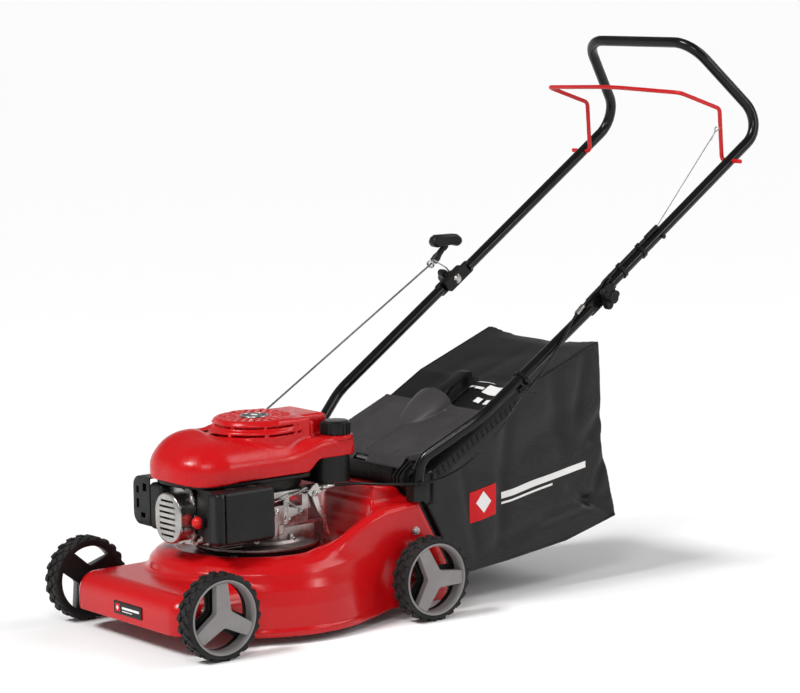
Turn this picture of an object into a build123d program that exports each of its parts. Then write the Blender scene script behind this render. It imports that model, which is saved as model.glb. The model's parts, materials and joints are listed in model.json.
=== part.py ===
"""Petrol push lawn mower with a rear grass bag.

Millimetres, +Z up, the front of the mower towards -Y, the operator's left hand on +X.
Everything is built around the crank axis and then moved back by CRANK_SETBACK, so the origin is on the ground
below the middle of the whole machine.
"""
from build123d import *
from math import atan2, cos, degrees, hypot, pi, radians, sin, tan
import os

# ---------------------------------------------------------------- driving dimensions
CRANK_SETBACK = 368.0          # crank axis in front of the origin

WHEEL_R = 75.0
WHEEL_OUT = 227.0              # outer face of each wheel from the middle plane
TYRE_WIDTH = 35.0
HALF_BASE = 226.85             # axles in front of and behind the crank axis
AXLE_R = 6.0
RUN_GAP = 0.05                 # radial clearance of a shaft in its hole

SHEET = 2.0                    # deck sheet thickness
SKIRT_R = 214.0                # blade housing at its lower edge
SKIRT_Z = 14.0
SHOULDER_R = 205.0
SHOULDER_Z = 92.0
PAD_Z = 127.0                  # flat under the engine
APRON_HALF = 168.0
APRON_FRONT = 281.0
APRON_Z = 37.0
APRON_TOP = 103.0
CHEEK_HALF = 170.0
SCOOP_HALF = 150.0
HOUSING_TOP = 232.0
REAR_TOP = (236.0, 207.5)      # upper end of the slanted rear edge, (y, z)
REAR_MID = (272.0, 141.5)
REAR_SLOPE = (REAR_MID[0] - REAR_TOP[0]) / (REAR_TOP[1] - REAR_MID[1])
CHUTE_HALF = 132.0

BLADE_Z = 28.0
BLADE_R = 197.0
CRANK_R = 12.5

SHROUD_HALF = 102.0
SHROUD_FRONT = 190.0
SHROUD_REAR = 155.0
SHROUD_Z = 272.0
SHROUD_DECK = 328.0            # flat rear top of the shroud, round the fuel cap
DISC_R = 78.0
DISC_TOP = 363.0
SKIN = 2.5                     # moulded wall thickness
FUEL_CAP = (72.0, 124.0)

TUBE_R = 10.0
TUBE_WALL = 1.6
FLAT = 9.2                     # thickness of a flattened tube end
FLAT_HIGH = 24.0
PIVOT = (629.0, 542.3)         # fold axis, (y, z)
UPPER_X = 206.0
LOWER_X = 216.2
ELBOW = (208.0, 1052.6, 835.3)
CREST = (145.5, 918.3, 993.1)
BAIL_R = 4.0
BAIL_PIVOT = (960.0, 771.5)
CABLE_R = 2.5
STUD_R = 4.0

HINGE = (241.0, 262.0)         # rear flap's hinge rod, (y, z)
ROD_R = 3.0
FLAP_HALF = 141.0
FLAP_RISE = 0.43
FLAP_BACK = (406.0, 347.0)
BAG_HALF = 158.0
BAG_SKIN = 2.0

ROPE_START = (-70.0, 79.0, 362.0)
ROPE_END = (-235.0, 590.0, 571.0)

nodes = {}


# ---------------------------------------------------------------- helpers
def add(name, *shapes):
    """One named node holding one or more separate solids."""
    solids = []
    for shape in shapes:
        solids += list(shape.solids())
    nodes[name] = solids


def both(shape):
    """A shape and its mirror image across the middle plane."""
    return [shape, mirror(shape, Plane.YZ)]


def block(x, y, z):
    """A box from its low and high limits on each axis."""
    size = [b - a for a, b in (x, y, z)]
    middle = [(a + b) / 2 for a, b in (x, y, z)]
    return Pos(*middle) * Box(*size)


def rod(start, end, radius):
    """A round bar between two points."""
    line = Line(start, end)
    return sweep(Plane(origin=start, z_dir=Vector(*end) - Vector(*start)) * Circle(radius), path=line)


def disc_z(x, y, z0, z1, radius):
    return Pos(x, y, (z0 + z1) / 2) * Cylinder(radius, z1 - z0)


def disc_x(x0, x1, y, z, radius):
    return Pos((x0 + x1) / 2, y, z) * Rot(0, 90, 0) * Cylinder(radius, abs(x1 - x0))


def disc_y(x, y0, y1, z, radius):
    return Pos(x, (y0 + y1) / 2, z) * Rot(90, 0, 0) * Cylinder(radius, abs(y1 - y0))


def side_prism(points, x0, x1):
    """A side-view outline, given as (y, z), made solid between two x values."""
    outline = Plane.YZ * make_face(Polyline(*points, close=True))
    return Pos(x0, 0, 0) * extrude(outline, amount=x1 - x0)


def turned(points, axis_x=None):
    """A solid of revolution from (radius, height) points, about Z, or about X when axis_x is set."""
    profile = Plane.XZ * make_face(Polyline(*points, close=True))
    solid = revolve(profile, Axis.Z)
    return solid if axis_x is None else Pos(*axis_x) * Rot(0, 90, 0) * solid


def bent_bar(points, radii, radius, wall=0.0):
    """A round bar or tube along straight runs joined by arcs."""
    path = FilletPolyline(*points, radius=radii)
    start = Plane(origin=path @ 0, z_dir=path % 0)
    section = start * Circle(radius)
    if wall:
        section -= start * Circle(radius - wall)
    return sweep(section, path=path)


def rounded(shape, edges, radius):
    """A fillet that leaves the shape as it is where the radius can't be made."""
    try:
        return fillet(edges, radius)
    except (ValueError, RuntimeError):
        return shape


def lofted(sections):
    """A smooth solid through rounded rectangles: (z, half width, front, rear, corner radius)."""
    faces = []
    for z, half, front, rear, corner in sections:
        face = Pos(0, (front + rear) / 2, z) * RectangleRounded(2 * half, rear - front, corner)
        faces.append(face)
    return loft(faces)


# ---------------------------------------------------------------- deck
def dome(inset):
    """The round blade housing, closed on top, grown inwards by the sheet thickness for its inside."""
    low = SKIRT_Z - (20.0 if inset else 0.0)
    points = [
        (0, low),
        (SKIRT_R - inset, low),
        (SHOULDER_R - inset, SHOULDER_Z),
        (188 - inset, 118 - inset),
        (162 - inset, 141 - inset),
        (147, 144 - inset),
        (136 + inset, PAD_Z - inset),
        (0, PAD_Z - inset),
    ]
    return turned(points)


def apron(inset):
    """The nose of the deck between the front wheels."""
    low = APRON_Z - (20.0 if inset else 0.0)
    half = APRON_HALF - inset
    front = -APRON_FRONT + inset
    shape = block((-half, half), (front, 0), (low, APRON_TOP - inset))
    shape = fillet(shape.edges().filter_by(Axis.Z).sort_by(Axis.Y)[:2], 34 - inset)
    top = shape.faces().sort_by(Axis.Z)[-1].edges().filter_by(lambda e: e.center().Y < -5)
    return rounded(shape, top, 30 - inset)


def cheeks(inset):
    """The two raised sides behind the engine, as one block that the scoop is cut from."""
    low = 22.0 - (20.0 if inset else 0.0)
    ridge = [(0, 120), (40, 146), (94, 176), (150, 199), (200, 206)]
    outline = [(0, low)] + [(y, z - inset) for y, z in ridge]
    outline += [(y - 1.14 * inset, z - inset) for y, z in (REAR_TOP, REAR_MID)]
    outline += [(300 - 1.14 * inset, 88), (300 - 1.14 * inset, low)]
    half = CHEEK_HALF - inset
    shape = side_prism(outline, -half, half)
    top = shape.edges().filter_by(lambda e: abs(abs(e.center().X) - half) < 0.1)
    top = top.filter_by(lambda e: e.center().Z > 130 and e.center().Y < 236)
    return rounded(shape, top, 10 - inset)


def scoop_wall(inset):
    """Side view of the hollow behind the engine: the flat, the curved back wall and the air above."""
    floor = PAD_Z - 10 - inset
    lead = Line((-60, floor), (110 + inset, floor))
    curve = ThreePointArc((110 + inset, floor), (149 + inset, 160 - inset), (163 + inset, HOUSING_TOP + 3))
    close = Polyline((163 + inset, HOUSING_TOP + 3), (163 + inset, 320), (-60, 320), (-60, floor))
    half = SCOOP_HALF + inset
    face = Plane.YZ * make_face(lead + curve + close)
    return Pos(-half, 0, 0) * extrude(face, amount=2 * half)


def housing(inset):
    """The raised top of the discharge chute, between the cheeks."""
    half = SCOOP_HALF - inset
    top = HOUSING_TOP - inset
    back = REAR_TOP[0] - (HOUSING_TOP - REAR_TOP[1]) * REAR_SLOPE
    outline = [(60, 60), (60, top), (back, top), REAR_TOP, REAR_MID, (REAR_MID[0], 60)]
    return side_prism(outline, -half, half) - scoop_wall(inset)


def deck_shell():
    outside = dome(0) + apron(0) + (cheeks(0) - scoop_wall(0)) + housing(0)
    hollow = dome(SHEET) + apron(SHEET) + (cheeks(SHEET) - scoop_wall(SHEET)) + housing(SHEET)
    hollow += side_prism([(150, 30), (150, 120), (215, 196), (330, 196), (330, 30)], -CHUTE_HALF, CHUTE_HALF)
    shell = outside - hollow
    shell -= disc_z(0, 0, 90, 180, 16)
    for x, y in engine_bolt_spots():
        shell -= disc_z(x, y, 90, 180, STUD_R + 0.2)
    for y in (-HALF_BASE, HALF_BASE):
        shell -= disc_x(-240, 240, y, WHEEL_R, AXLE_R + 0.1)
    shell -= disc_x(-240, 240, *SIDE_BOLT, STUD_R + 0.2)
    return shell


# ---------------------------------------------------------------- fasteners
ENGINE_BOLT_CIRCLE = 116.0
ENGINE_BOLT_TURN = -55.0
SIDE_BOLT = (224.0, 155.0)


def engine_bolt_spots():
    turns = [radians(ENGINE_BOLT_TURN + 120 * k) for k in range(3)]
    return [(ENGINE_BOLT_CIRCLE * cos(t), ENGINE_BOLT_CIRCLE * sin(t)) for t in turns]


def deck_bolts():
    """Three engine bolts from above and one bolt in each cheek, all the same."""
    head = turned([(0, 0), (7.5, 0), (7.5, 1.2), (6.4, 1.4), (6.4, 5.2), (5.4, 6.2), (0, 6.2)])
    bolt = head + disc_z(0, 0, -16, 0, STUD_R)
    upright = [Pos(x, y, PAD_Z + 6) * bolt for x, y in engine_bolt_spots()]
    flat = Pos(CHEEK_HALF, *SIDE_BOLT) * Rot(0, 90, 0) * bolt
    return upright + both(flat)


def axle_bolts():
    """Shoulder bolts: threaded end and nut inside the deck, collar outside, plain axle, wide head."""
    inner = 150.0
    points = [
        (0, inner), (AXLE_R, inner), (AXLE_R, 155), (11, 155), (11, 162),
        (AXLE_R, 162), (AXLE_R, CHEEK_HALF + 0.2), (12, CHEEK_HALF + 0.2),
        (12, 188.5), (AXLE_R, 188.5), (AXLE_R, 211.3), (11, 211.3), (11, 215.5), (0, 215.5),
    ]
    bolts = []
    for y in (-HALF_BASE, HALF_BASE):
        bolts += both(Pos(0, y, WHEEL_R) * Rot(0, 90, 0) * turned(points))
    return bolts


# ---------------------------------------------------------------- wheels
def tyre():
    """Tyre about the X axis, outer face at WHEEL_OUT - 1."""
    inside, outside = WHEEL_OUT - TYRE_WIDTH, WHEEL_OUT - 1
    bead = 64.2
    return turned([
        (bead, inside + 2), (bead, outside - 1), (WHEEL_R - 4, outside), (WHEEL_R, outside - 4),
        (WHEEL_R, inside + 4), (WHEEL_R - 4, inside),
    ], (0, 0, 0))


ARMS = 3


def star(notch, tip, width, x0, x1, draft=0.0):
    """A star whose arms are as wide as given at the tip and widen to the notches between them."""
    points = []
    half_turn = pi / ARMS
    for k in range(ARMS):
        turn = 2 * half_turn * k + pi / 2
        for offset in (-width / 2, width / 2):
            points.append((tip * cos(turn) - offset * sin(turn), tip * sin(turn) + offset * cos(turn)))
        points.append((notch * cos(turn + half_turn), notch * sin(turn + half_turn)))
    outline = Plane.YZ * make_face(Polyline(*points, close=True))
    return Pos(x0, 0, 0) * extrude(outline, amount=x1 - x0, taper=draft)


def rim():
    """Black wheel body with its hub, and the grey ring and three-arm cover clipped on its outside."""
    inner = WHEEL_OUT - TYRE_WIDTH + 1
    barrel = turned([(59, inner), (64, inner), (64, 212.8), (59, 212.8)], (0, 0, 0))
    hub = disc_x(188.8, 211, 0, 0, 15)
    body = barrel + hub + star(11, 60.5, 13, inner + 3, 208)
    body -= disc_x(180, 230, 0, 0, AXLE_R + RUN_GAP)
    ring = turned([(57.5, 213), (64, 213), (64, WHEEL_OUT - 1), (62.5, WHEEL_OUT), (59, WHEEL_OUT)], (0, 0, 0))
    return body, ring + star(19, 59, 25, 218, 224.5, 12)


def wheel_place(shape, side, y, turn):
    """A wheel part turned about its axle and moved to its corner; side is 1 for the operator's left."""
    shape = Rot(turn, 0, 0) * shape
    return Pos(0, y, WHEEL_R) * (shape if side > 0 else mirror(shape, Plane.YZ))


# ---------------------------------------------------------------- cutting gear
def crankshaft():
    return turned([(0, 62), (9.5, 62), (9.5, 92), (CRANK_R, 92), (CRANK_R, 262), (9, 262), (9, 308), (0, 308)])


def blade():
    """A flat bar with two turned-up wings at its trailing corners."""
    bar = block((-BLADE_R, BLADE_R), (-25, 25), (BLADE_Z, BLADE_Z + 3))
    wing = side_prism([(12, BLADE_Z + 3), (25, BLADE_Z + 3), (30, BLADE_Z + 14), (27, BLADE_Z + 14), (22, 31.5)],
                      BLADE_R - 62, BLADE_R - 8)
    bar += wing + Rot(0, 0, 180) * wing
    edge = side_prism([(-25.1, 27), (-25.1, 31.1), (-15, 31.1)], BLADE_R - 75, BLADE_R + 1)
    bar -= edge + Rot(0, 0, 180) * edge
    round_off = disc_z(0, 0, 0, 60, BLADE_R)
    return (bar & round_off) - disc_z(0, 0, 20, 40, 5.2)


def blade_adapter():
    body = disc_z(0, 0, 31.1, 42, 26) + disc_z(0, 0, 42, 88, 16)
    return body - disc_z(0, 0, 61.9, 100, 9.5 + RUN_GAP) - disc_z(0, 0, 30, 62, 5.2)


def blade_bolt():
    hexagon = extrude(Pos(0, 0, 17.5) * RegularPolygon(9.5, 6), amount=7)
    return hexagon + disc_z(0, 0, 24.5, 27.9, 19) + disc_z(0, 0, 27.9, 61.5, 5)


def flywheel():
    """Disc, hub and curved fan blades under the starter."""
    body = turned([(9.1, 263), (76, 263), (76, 272), (66, 278), (26, 278), (20, 296), (9.1, 296)])
    fin = block((30, 74), (-1.2, 1.2), (276, 300))
    for k in range(16):
        body += Rot(0, 0, 360 * k / 16) * Pos(0, 8, 0) * fin
    return body


def recoil_pulley():
    points = [(7, 313), (38, 313), (38, 315), (32, 317.5), (38, 320), (38, 322), (7, 322)]
    return turned(points) + turned([(7, 309.5), (22, 309.5), (22, 313), (7, 313)])


# ---------------------------------------------------------------- engine
def engine_base():
    """Black sump flange on its foot, with an ear for each engine bolt."""
    body = disc_z(0, 0, PAD_Z, 137, 98) + turned([(0, 137), (112, 137), (114, 139), (114, 144), (110, 147), (0, 147)])
    for x, y in engine_bolt_spots():
        ear = disc_z(x, y, PAD_Z, PAD_Z + 6, 10)
        arm = Rot(0, 0, degrees(atan2(y, x))) * block((80, hypot(x, y)), (-9, 9), (PAD_Z, PAD_Z + 6))
        body += ear + arm
        body -= disc_z(x, y, 100, PAD_Z + 30, STUD_R + 0.2) + disc_z(x, y, PAD_Z + 6, PAD_Z + 30, 8.2)
    return body - disc_z(0, 0, 100, 180, CRANK_R + RUN_GAP)


def crankcase():
    """Crankcase, finned cylinder towards the front, boxed tappet cover and oil filler tube."""
    body = disc_z(0, 0, 147, 206, 78) + disc_z(0, 0, 206, 260, 44)
    body += block((-40, 40), (-139, -40), (165, 247))
    for k in range(8):
        fin_y = -136 + 10 * k
        body += block((-48, 48), (fin_y, fin_y + 2.4), (158, 254))
    body += block((56, 80), (-8, 68), (147, 178))
    body += disc_z(-82, 62, 147, 196, 13) + block((-90, -40), (45, 72), (147, 165))
    body -= disc_z(-82, 62, 150, 200, 9)
    return body - disc_z(0, 0, 100, 300, CRANK_R + RUN_GAP)


def cylinder_head():
    body = block((-45, 45), (-156, -139.2), (160, 250))
    body = fillet(body.edges().filter_by(Axis.Y), 8)
    for k in range(4):
        body -= block((-50, 50), (-157, -150), (172 + 18 * k, 180 + 18 * k))
    return body - disc_x(-60, -30, -147, 210, 6.2)


def spark_plug():
    """Plug in the side of the head, with its rubber boot."""
    plug = disc_x(-58, -32, -147, 210, 6) + disc_x(-66, -58, -147, 210, 9)
    boot = disc_x(-92, -66.2, -147, 210, 8.5) + Pos(-92, -147, 210) * Sphere(8.5)
    lead = bent_bar([(-92, -144, 212), (-92, -118, 222), (-84, -96, 240), (-74, -86, 262)], 14, 3)
    return plug, boot + lead


def stadium(width, height, corner, y0, y1, x, z):
    face = Plane.XZ * RectangleRounded(width, height, corner)
    return Pos(x, y0, z) * extrude(face, amount=-(y1 - y0))


MUFFLER_X = 15.0
MUFFLER_Z = 210.0


def muffler_body():
    """Pressed can on a zinc flange."""
    can = stadium(74, 84, 33, -188, -164, MUFFLER_X, MUFFLER_Z)
    flange = stadium(90, 98, 22, -164, -160.5, MUFFLER_X - 11, MUFFLER_Z + 1)
    stub = disc_y(MUFFLER_X - 11, -160.5, -156.2, MUFFLER_Z, 12)
    body = can + flange + stub
    for x, z in ((-37, 254), (43, 254), (-37, 168), (43, 168)):
        body += disc_y(x, -166.5, -164, z, 4.5)
    return body


def muffler_guard():
    """Slotted outlet cover: a shallow can with seven slots in its face."""
    can = stadium(78, 88, 35, -198, -188.2, MUFFLER_X, MUFFLER_Z)
    can = rounded(can, can.faces().sort_by(Axis.Y)[0].edges(), 4)
    can -= stadium(73, 83, 32, -196, -188, MUFFLER_X, MUFFLER_Z)
    for k in range(7):
        slot_z = MUFFLER_Z - 30 + 10 * k
        half = 24 if 0 < k < 6 else 19
        can -= block((MUFFLER_X - half, MUFFLER_X + half), (-200, -190), (slot_z - 1.8, slot_z + 1.8))
    return can


def exhaust_shield():
    """Black guard plate beside the muffler, with a turned edge and windows."""
    plate = stadium(80, 86, 20, -184, -181.5, -72, 226)
    plate += stadium(80, 86, 20, -184, -158, -72, 226) - stadium(75, 81, 17.5, -185, -157, -72, 226)
    plate -= block((-60, -20), (-190, -150), (180, 280))
    for x, z, w, h in ((-98, 244, 8, 12), (-98, 220, 8, 16), (-82, 200, 14, 9), (-76, 250, 12, 14)):
        plate -= block((x - w / 2, x + w / 2), (-190, -180), (z - h / 2, z + h / 2))
    return plate


def filter_backplate():
    """Air box base with the boss that holds the primer bulb."""
    body = block((66, 104), (-160, -48), (172, 262)) + block((51, 66), (-160, -110), (180, 262))
    body += disc_y(67, -168, -160, 206, 13.5)
    body -= block((90, 105), (-154, -54), (178, 256))
    return body - disc_y(67, -169, -152, 206, 8.3) - disc_y(67, -169, -162, 206, 11.4)


FILTER_HINGE = (106.0, 170.5)


def filter_cover():
    """Deep lid of the air box, with two latches on top and two round hinge beads underneath."""
    body = block((104.3, 131), (-172, -49), (171, 263))
    body = fillet(body.edges().filter_by(Axis.X), 7)
    body = fillet(body.faces().sort_by(Axis.X)[-1].edges(), 7)
    body -= block((100, 128), (-168.5, -52.5), (174.5, 259.5))
    for y in (-132, -88):
        body += block((106, 116), (y - 6, y + 6), (262.5, 266))
        body += disc_y(FILTER_HINGE[0], y - 8, y + 8, FILTER_HINGE[1], 1.6)
    return body


def primer_bulb():
    bulb = Pos(67, -169.5, 206) * Sphere(11)
    bulb -= block((40, 90), (-169.2, -150), (190, 222))
    return bulb + disc_y(67, -169.2, -160, 206, 8.2)


def carburettor():
    body = block((80, 99), (-44, -10), (188, 220))
    body += disc_y(89, -48, -44, 205, 10) + disc_z(89, -27, 168, 188, 11)
    body += disc_x(99, 103, -27, 208, 5)
    return body


def control_bracket():
    """Folded steel bracket with the pivot studs and the cable anchor."""
    plate = block((81, 83.5), (-4, 92), (179, 240))
    plate -= block((80, 85), (12, 40), (212, 232)) + block((80, 85), (52, 84), (184, 206))
    flange = block((60, 88), (-30, 92), (240, 242.5))
    arm = block((81, 83.5), (-38, -4), (230, 242.5))
    anchor = block((81, 92), (80, 88), (234, 244.2)) + disc_y(91, 78, 103, 240, 4.2)
    studs = disc_x(83.5, 96, *BRAKE_PIVOT, 3) + disc_x(83.5, 90, *GOVERNOR_PIVOT, 3)
    screws = disc_x(83.5, 87, 37, 203, 5) + disc_x(83.5, 87, 70, 226, 4)
    body = plate + flange + arm + anchor + studs + screws
    return body - disc_y(91, 70, 110, 240, 1.6)


BRAKE_PIVOT = (60.0, 232.0)
GOVERNOR_PIVOT = (-1.0, 190.0)


def brake_lever():
    """S-shaped lever that the cable turns to lift the brake off the flywheel."""
    outline = [
        (54, 246), (66, 250), (70, 244), (67, 228), (72, 208), (84, 190), (88, 166), (94, 158),
        (90, 152), (80, 158), (78, 184), (65, 202), (56, 224),
    ]
    lever = side_prism(outline, 90.5, 93.5)
    return lever - disc_x(80, 100, *BRAKE_PIVOT, 3 + RUN_GAP)


def governor_lever():
    outline = [(-7, 184), (-8, 194), (-3, 226), (4, 228), (6, 222), (5, 192), (4, 184)]
    lever = side_prism(outline, 86.5, 88.8)
    return lever - disc_x(80, 100, *GOVERNOR_PIVOT, 3 + RUN_GAP)


def fuel_tank():
    body = block((-96, 96), (80, 150), (245, 296)) + block((-89, 89), (84, 144), (290, 318))
    body = fillet(body.edges().filter_by(Axis.Z), 26)
    return body + disc_z(*FUEL_CAP, 318, 338, 17)


def knurled_cap(x, y, z0, z1, radius, bore, depth):
    """A round cap with grip ribs, open below."""
    cap = turned([(0, z0), (radius - 1.5, z0), (radius - 1.5, z1 - 3), (radius - 5, z1), (0, z1)])
    for k in range(18):
        cap += Rot(0, 0, 20 * k) * block((radius - 2.5, radius), (-2, 2), (z0, z1 - 4))
    cap -= disc_z(0, 0, z0 - 1, z0 + depth, bore)
    return Pos(x, y, 0) * cap


# ---------------------------------------------------------------- shroud
def shroud_solid(inset):
    """Body, front crown and round starter housing, each shrunk by the wall for the inside."""
    low = SHROUD_Z - (5 if inset else 0)
    half, front, rear = SHROUD_HALF - inset, -SHROUD_FRONT + inset, SHROUD_REAR - inset
    body = lofted([
        (low, half, front, rear, 32), (300, half + 1, front - 1, rear, 32),
        (318, half - 3, front + 14, rear - 2, 32), (SHROUD_DECK - inset, half - 11, front + 40, rear - 8, 32),
    ])
    crown = lofted([
        (312, half - 4, front + 14, 92 - inset, 60), (332, half - 10, front + 46, 90 - inset, 70),
        (348 - inset, DISC_R + 4 - inset, -DISC_R - 4 + inset, DISC_R + 4 - inset, DISC_R + 3.5 - inset),
    ])
    disc = disc_z(0, 0, 330, DISC_TOP - inset, DISC_R - inset)
    if not inset:
        disc = fillet(disc.edges().sort_by(Axis.Z)[-1], 6)
    duct = block((-86 + inset, -4 - inset), (40, 128 - inset), (310, DISC_TOP + 3 - inset))
    return body + crown + disc + duct


def shroud():
    shell = shroud_solid(0) - shroud_solid(SKIN)
    shell -= block((SHROUD_HALF - 8, SHROUD_HALF + 9), (70, 170), (260, 288))
    shell -= disc_z(*FUEL_CAP, 300, 345, 19)
    for k in range(30):
        turn = Rot(0, 0, 12 * k)
        shell -= turn * block((33, 48), (-1.4, 1.4), (350, 370)) + turn * block((53, 68), (-1.8, 1.8), (350, 370))
    for z in (345, 354):
        for centre in (-100, -60, -20, 20):
            turn = Rot(0, 0, centre)
            shell -= turn * block((70, 90), (-22, 22), (z - 1, z + 1))
    post = disc_z(0, 0, 309, DISC_TOP - 1, 6.9)
    hole = Plane(origin=ROPE_START, z_dir=rope_axis()) * Cylinder(4, 60)
    return shell + post - hole


# ---------------------------------------------------------------- handles
LEG_START = Vector(UPPER_X, *PIVOT)
LEG = (Vector(*ELBOW) - LEG_START).normalized()


def leg_point(along, lift=0.0):
    """A point beside an upper leg: a distance up the leg from the fold axis, and square to it."""
    spot = LEG_START + LEG * along + Vector(0, -LEG.Z, LEG.Y) * lift
    return (spot.X, spot.Y, spot.Z)


def flat_end(x, slope, back, ahead):
    """The flattened end of a tube round the fold bolt."""
    angle = degrees(atan2(slope, 1))
    bar = block((-FLAT / 2, FLAT / 2), (-back, ahead), (-FLAT_HIGH / 2, FLAT_HIGH / 2))
    bar = fillet(bar.edges().filter_by(Axis.X), 8)
    return Pos(x, *PIVOT) * Rot(angle, 0, 0) * bar


def mirrored(points):
    """The same points on the other side, in reverse order."""
    return [(-x, y, z) for x, y, z in reversed(points)]


def upper_handle():
    """One tube bent into a handlebar, with flattened lower ends."""
    half = [leg_point(34), ELBOW, CREST]
    points = half + mirrored(half)
    tube = bent_bar(points, [52, 60, 60, 52], TUBE_R, TUBE_WALL)
    for side in (-1, 1):
        tube += flat_end(side * UPPER_X, LEG.Z / LEG.Y, 30, 44)
    tube -= disc_x(-260, 260, *BAIL_PIVOT, BAIL_R + RUN_GAP)
    return tube - disc_x(-260, 260, *PIVOT, STUD_R + RUN_GAP)


LOWER_SLOPE = 0.679
LOWER_ROUTE = [(164, 230, 210), (163, 244, 279), (211, 345, 350)]


def lower_tube():
    length = hypot(1, LOWER_SLOPE)
    top = (LOWER_X, PIVOT[0] - 36 / length, PIVOT[1] - 36 * LOWER_SLOPE / length)
    tube = bent_bar(LOWER_ROUTE + [top], [38, 140], TUBE_R, TUBE_WALL)
    tube += flat_end(LOWER_X, LOWER_SLOPE, 46, 30)
    return tube - disc_x(180, 260, *PIVOT, STUD_R + RUN_GAP)


def handle_brackets():
    """Black sockets on the deck that hold the feet of the lower tubes."""
    socket = block((151, 179), (216.5, 250), (207.6, 238))
    socket = fillet(socket.edges().filter_by(Axis.Z), 5)
    return both(socket - block((153.6, 174.3), (219.3, 247.2), (200, 245)))


def pivot_bolts():
    """Cup-head bolts through both tubes at the fold."""
    inner = UPPER_X - FLAT / 2
    points = [(0, inner - 5), (6, inner - 4), (9, inner - 1), (9, inner - 0.1), (STUD_R, inner - 0.1),
              (STUD_R, 238), (0, 238)]
    return both(Pos(0, *PIVOT) * Rot(0, 90, 0) * turned(points))


KNOB_START = 224.8


def knob():
    """Three-wing clamping knob on the +X side."""
    hub = turned([(0, KNOB_START), (13, KNOB_START), (11, 243), (8, 250), (0, 250)], (0, 0, 0))
    for k in range(3):
        wing = disc_x(KNOB_START + 2, 243, 0, 17, 5.5) + block((KNOB_START + 2, 243), (-5, 5), (0, 17))
        hub += Rot(120 * k + 20, 0, 0) * wing
    hub -= disc_x(220, 240, 0, 0, STUD_R + RUN_GAP)
    return Pos(0, *PIVOT) * hub


def bail():
    """Red rod: two ends through the handle, two uprights, and a bowed bar in front."""
    y, z = BAIL_PIVOT
    half = [(237, y, z), (187, y, z), (187, 954, 869), (187, 853, 903)]
    points = half + [(0, 847, 909)] + mirrored(half)
    return bent_bar(points, [9, 11, 11, 900, 11, 11, 9], BAIL_R)


WIRE_TOP = (187.0, 947.0, 832.0)
STOP_ALONG = (152.0, 186.0)
CABLE_LIFT = 14.5


def cable_stop():
    """Sleeve strapped to the leg where the outer cable ends."""
    sleeve = rod(leg_point(STOP_ALONG[0], CABLE_LIFT), leg_point(STOP_ALONG[1], CABLE_LIFT), 4.4)
    bore = rod(leg_point(STOP_ALONG[0] - 1, CABLE_LIFT), leg_point(STOP_ALONG[1] + 1, CABLE_LIFT), 1.2)
    screw = disc_x(UPPER_X + 11.5, UPPER_X + 14, *leg_point(STOP_ALONG[1] - 5, -4)[1:], 4.5)
    return sleeve - bore, screw


def inner_wire():
    """Bare wire from the sleeve to its eye on the bail."""
    start = leg_point(STOP_ALONG[1] + 1.0, CABLE_LIFT)
    end = (WIRE_TOP[0], WIRE_TOP[1] - 6.5, WIRE_TOP[2] - 8.5)
    eye = Pos(187, 945.9, 830.5) * Rot(-60, 0, 0) * Torus(6.4, 1.0)
    return rod(start, end, 0.9), eye


def cable_upper():
    return rod(leg_point(13, CABLE_LIFT), leg_point(STOP_ALONG[0] - 0.2, CABLE_LIFT), CABLE_R)


# The outer cable from beside the fold bolt, round the lower tube, past its bracket and on to the engine.
LOWER_CABLE = [
    (214.2, 625.5, 558.0), (215.0, 590.5, 535.5), (220.0, 556.0, 510.0), (228.0, 529.0, 481.0),
    (230.0, 499.0, 451.0), (229.5, 469.0, 418.0), (228.0, 437.0, 391.0), (226.0, 404.0, 354.0),
    (217.0, 365.0, 309.0), (204.0, 319.0, 267.0), (192.0, 268.0, 245.0), (183.0, 228.0, 240.5),
    (165.0, 192.0, 241.5), (136.0, 164.0, 241.0), (108.0, 147.0, 241.5), (91.0, 128.0, 240.5),
    (91.0, 103.2, 240.0),
]


def route_radii(points):
    """The largest arc that the two runs beside each bend leave room for."""
    radii = []
    for before, here, after in zip(points, points[1:], points[2:]):
        one, two = Vector(*here) - Vector(*before), Vector(*after) - Vector(*here)
        half_turn = radians(one.get_angle(two)) / 2
        radii.append(0.45 * min(one.length, two.length) / tan(half_turn))
    return radii


def cable_lower():
    radii = route_radii(LOWER_CABLE)
    print("brake cable bend radii", [round(r) for r in radii])
    adjuster = rod((216.3, 582.5, 529.8), (219.3, 561, 513.8), 4.4) - bent_bar(LOWER_CABLE, radii, CABLE_R + 0.02)
    return bent_bar(LOWER_CABLE, radii, CABLE_R), adjuster


def cable_clips():
    """Two bands that hold the cable along the upper leg."""
    clips = []
    for along in (70, 128):
        band = rod(leg_point(along - 4), leg_point(along + 4), 12.5)
        saddle = rod(leg_point(along - 4, CABLE_LIFT), leg_point(along + 4, CABLE_LIFT), 4.6)
        tube = rod(leg_point(along - 5), leg_point(along + 5), TUBE_R + 0.05)
        cable = rod(leg_point(along - 5, CABLE_LIFT), leg_point(along + 5, CABLE_LIFT), CABLE_R + 0.05)
        clips.append(band + saddle - tube - cable)
    return clips


# ---------------------------------------------------------------- starter
def rope_axis():
    return (Vector(*ROPE_END) - Vector(*ROPE_START)).normalized()


def along_rope(distance):
    """A point on the rope's line, measured from the guide towards the operator."""
    spot = Vector(*ROPE_END) + rope_axis() * distance
    return (spot.X, spot.Y, spot.Z)


def starter_rope():
    """The taut run from the shroud to the guide, made as a sleeve so that the pulled end can leave it."""
    length = (Vector(*ROPE_END) - Vector(*ROPE_START)).length + 8
    return rod(along_rope(-length), along_rope(6), 1.8) - rod(along_rope(-length - 1), along_rope(7), 1.15)


def rope_core():
    return rod(along_rope(-530), along_rope(9.8), 1.05)


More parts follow.
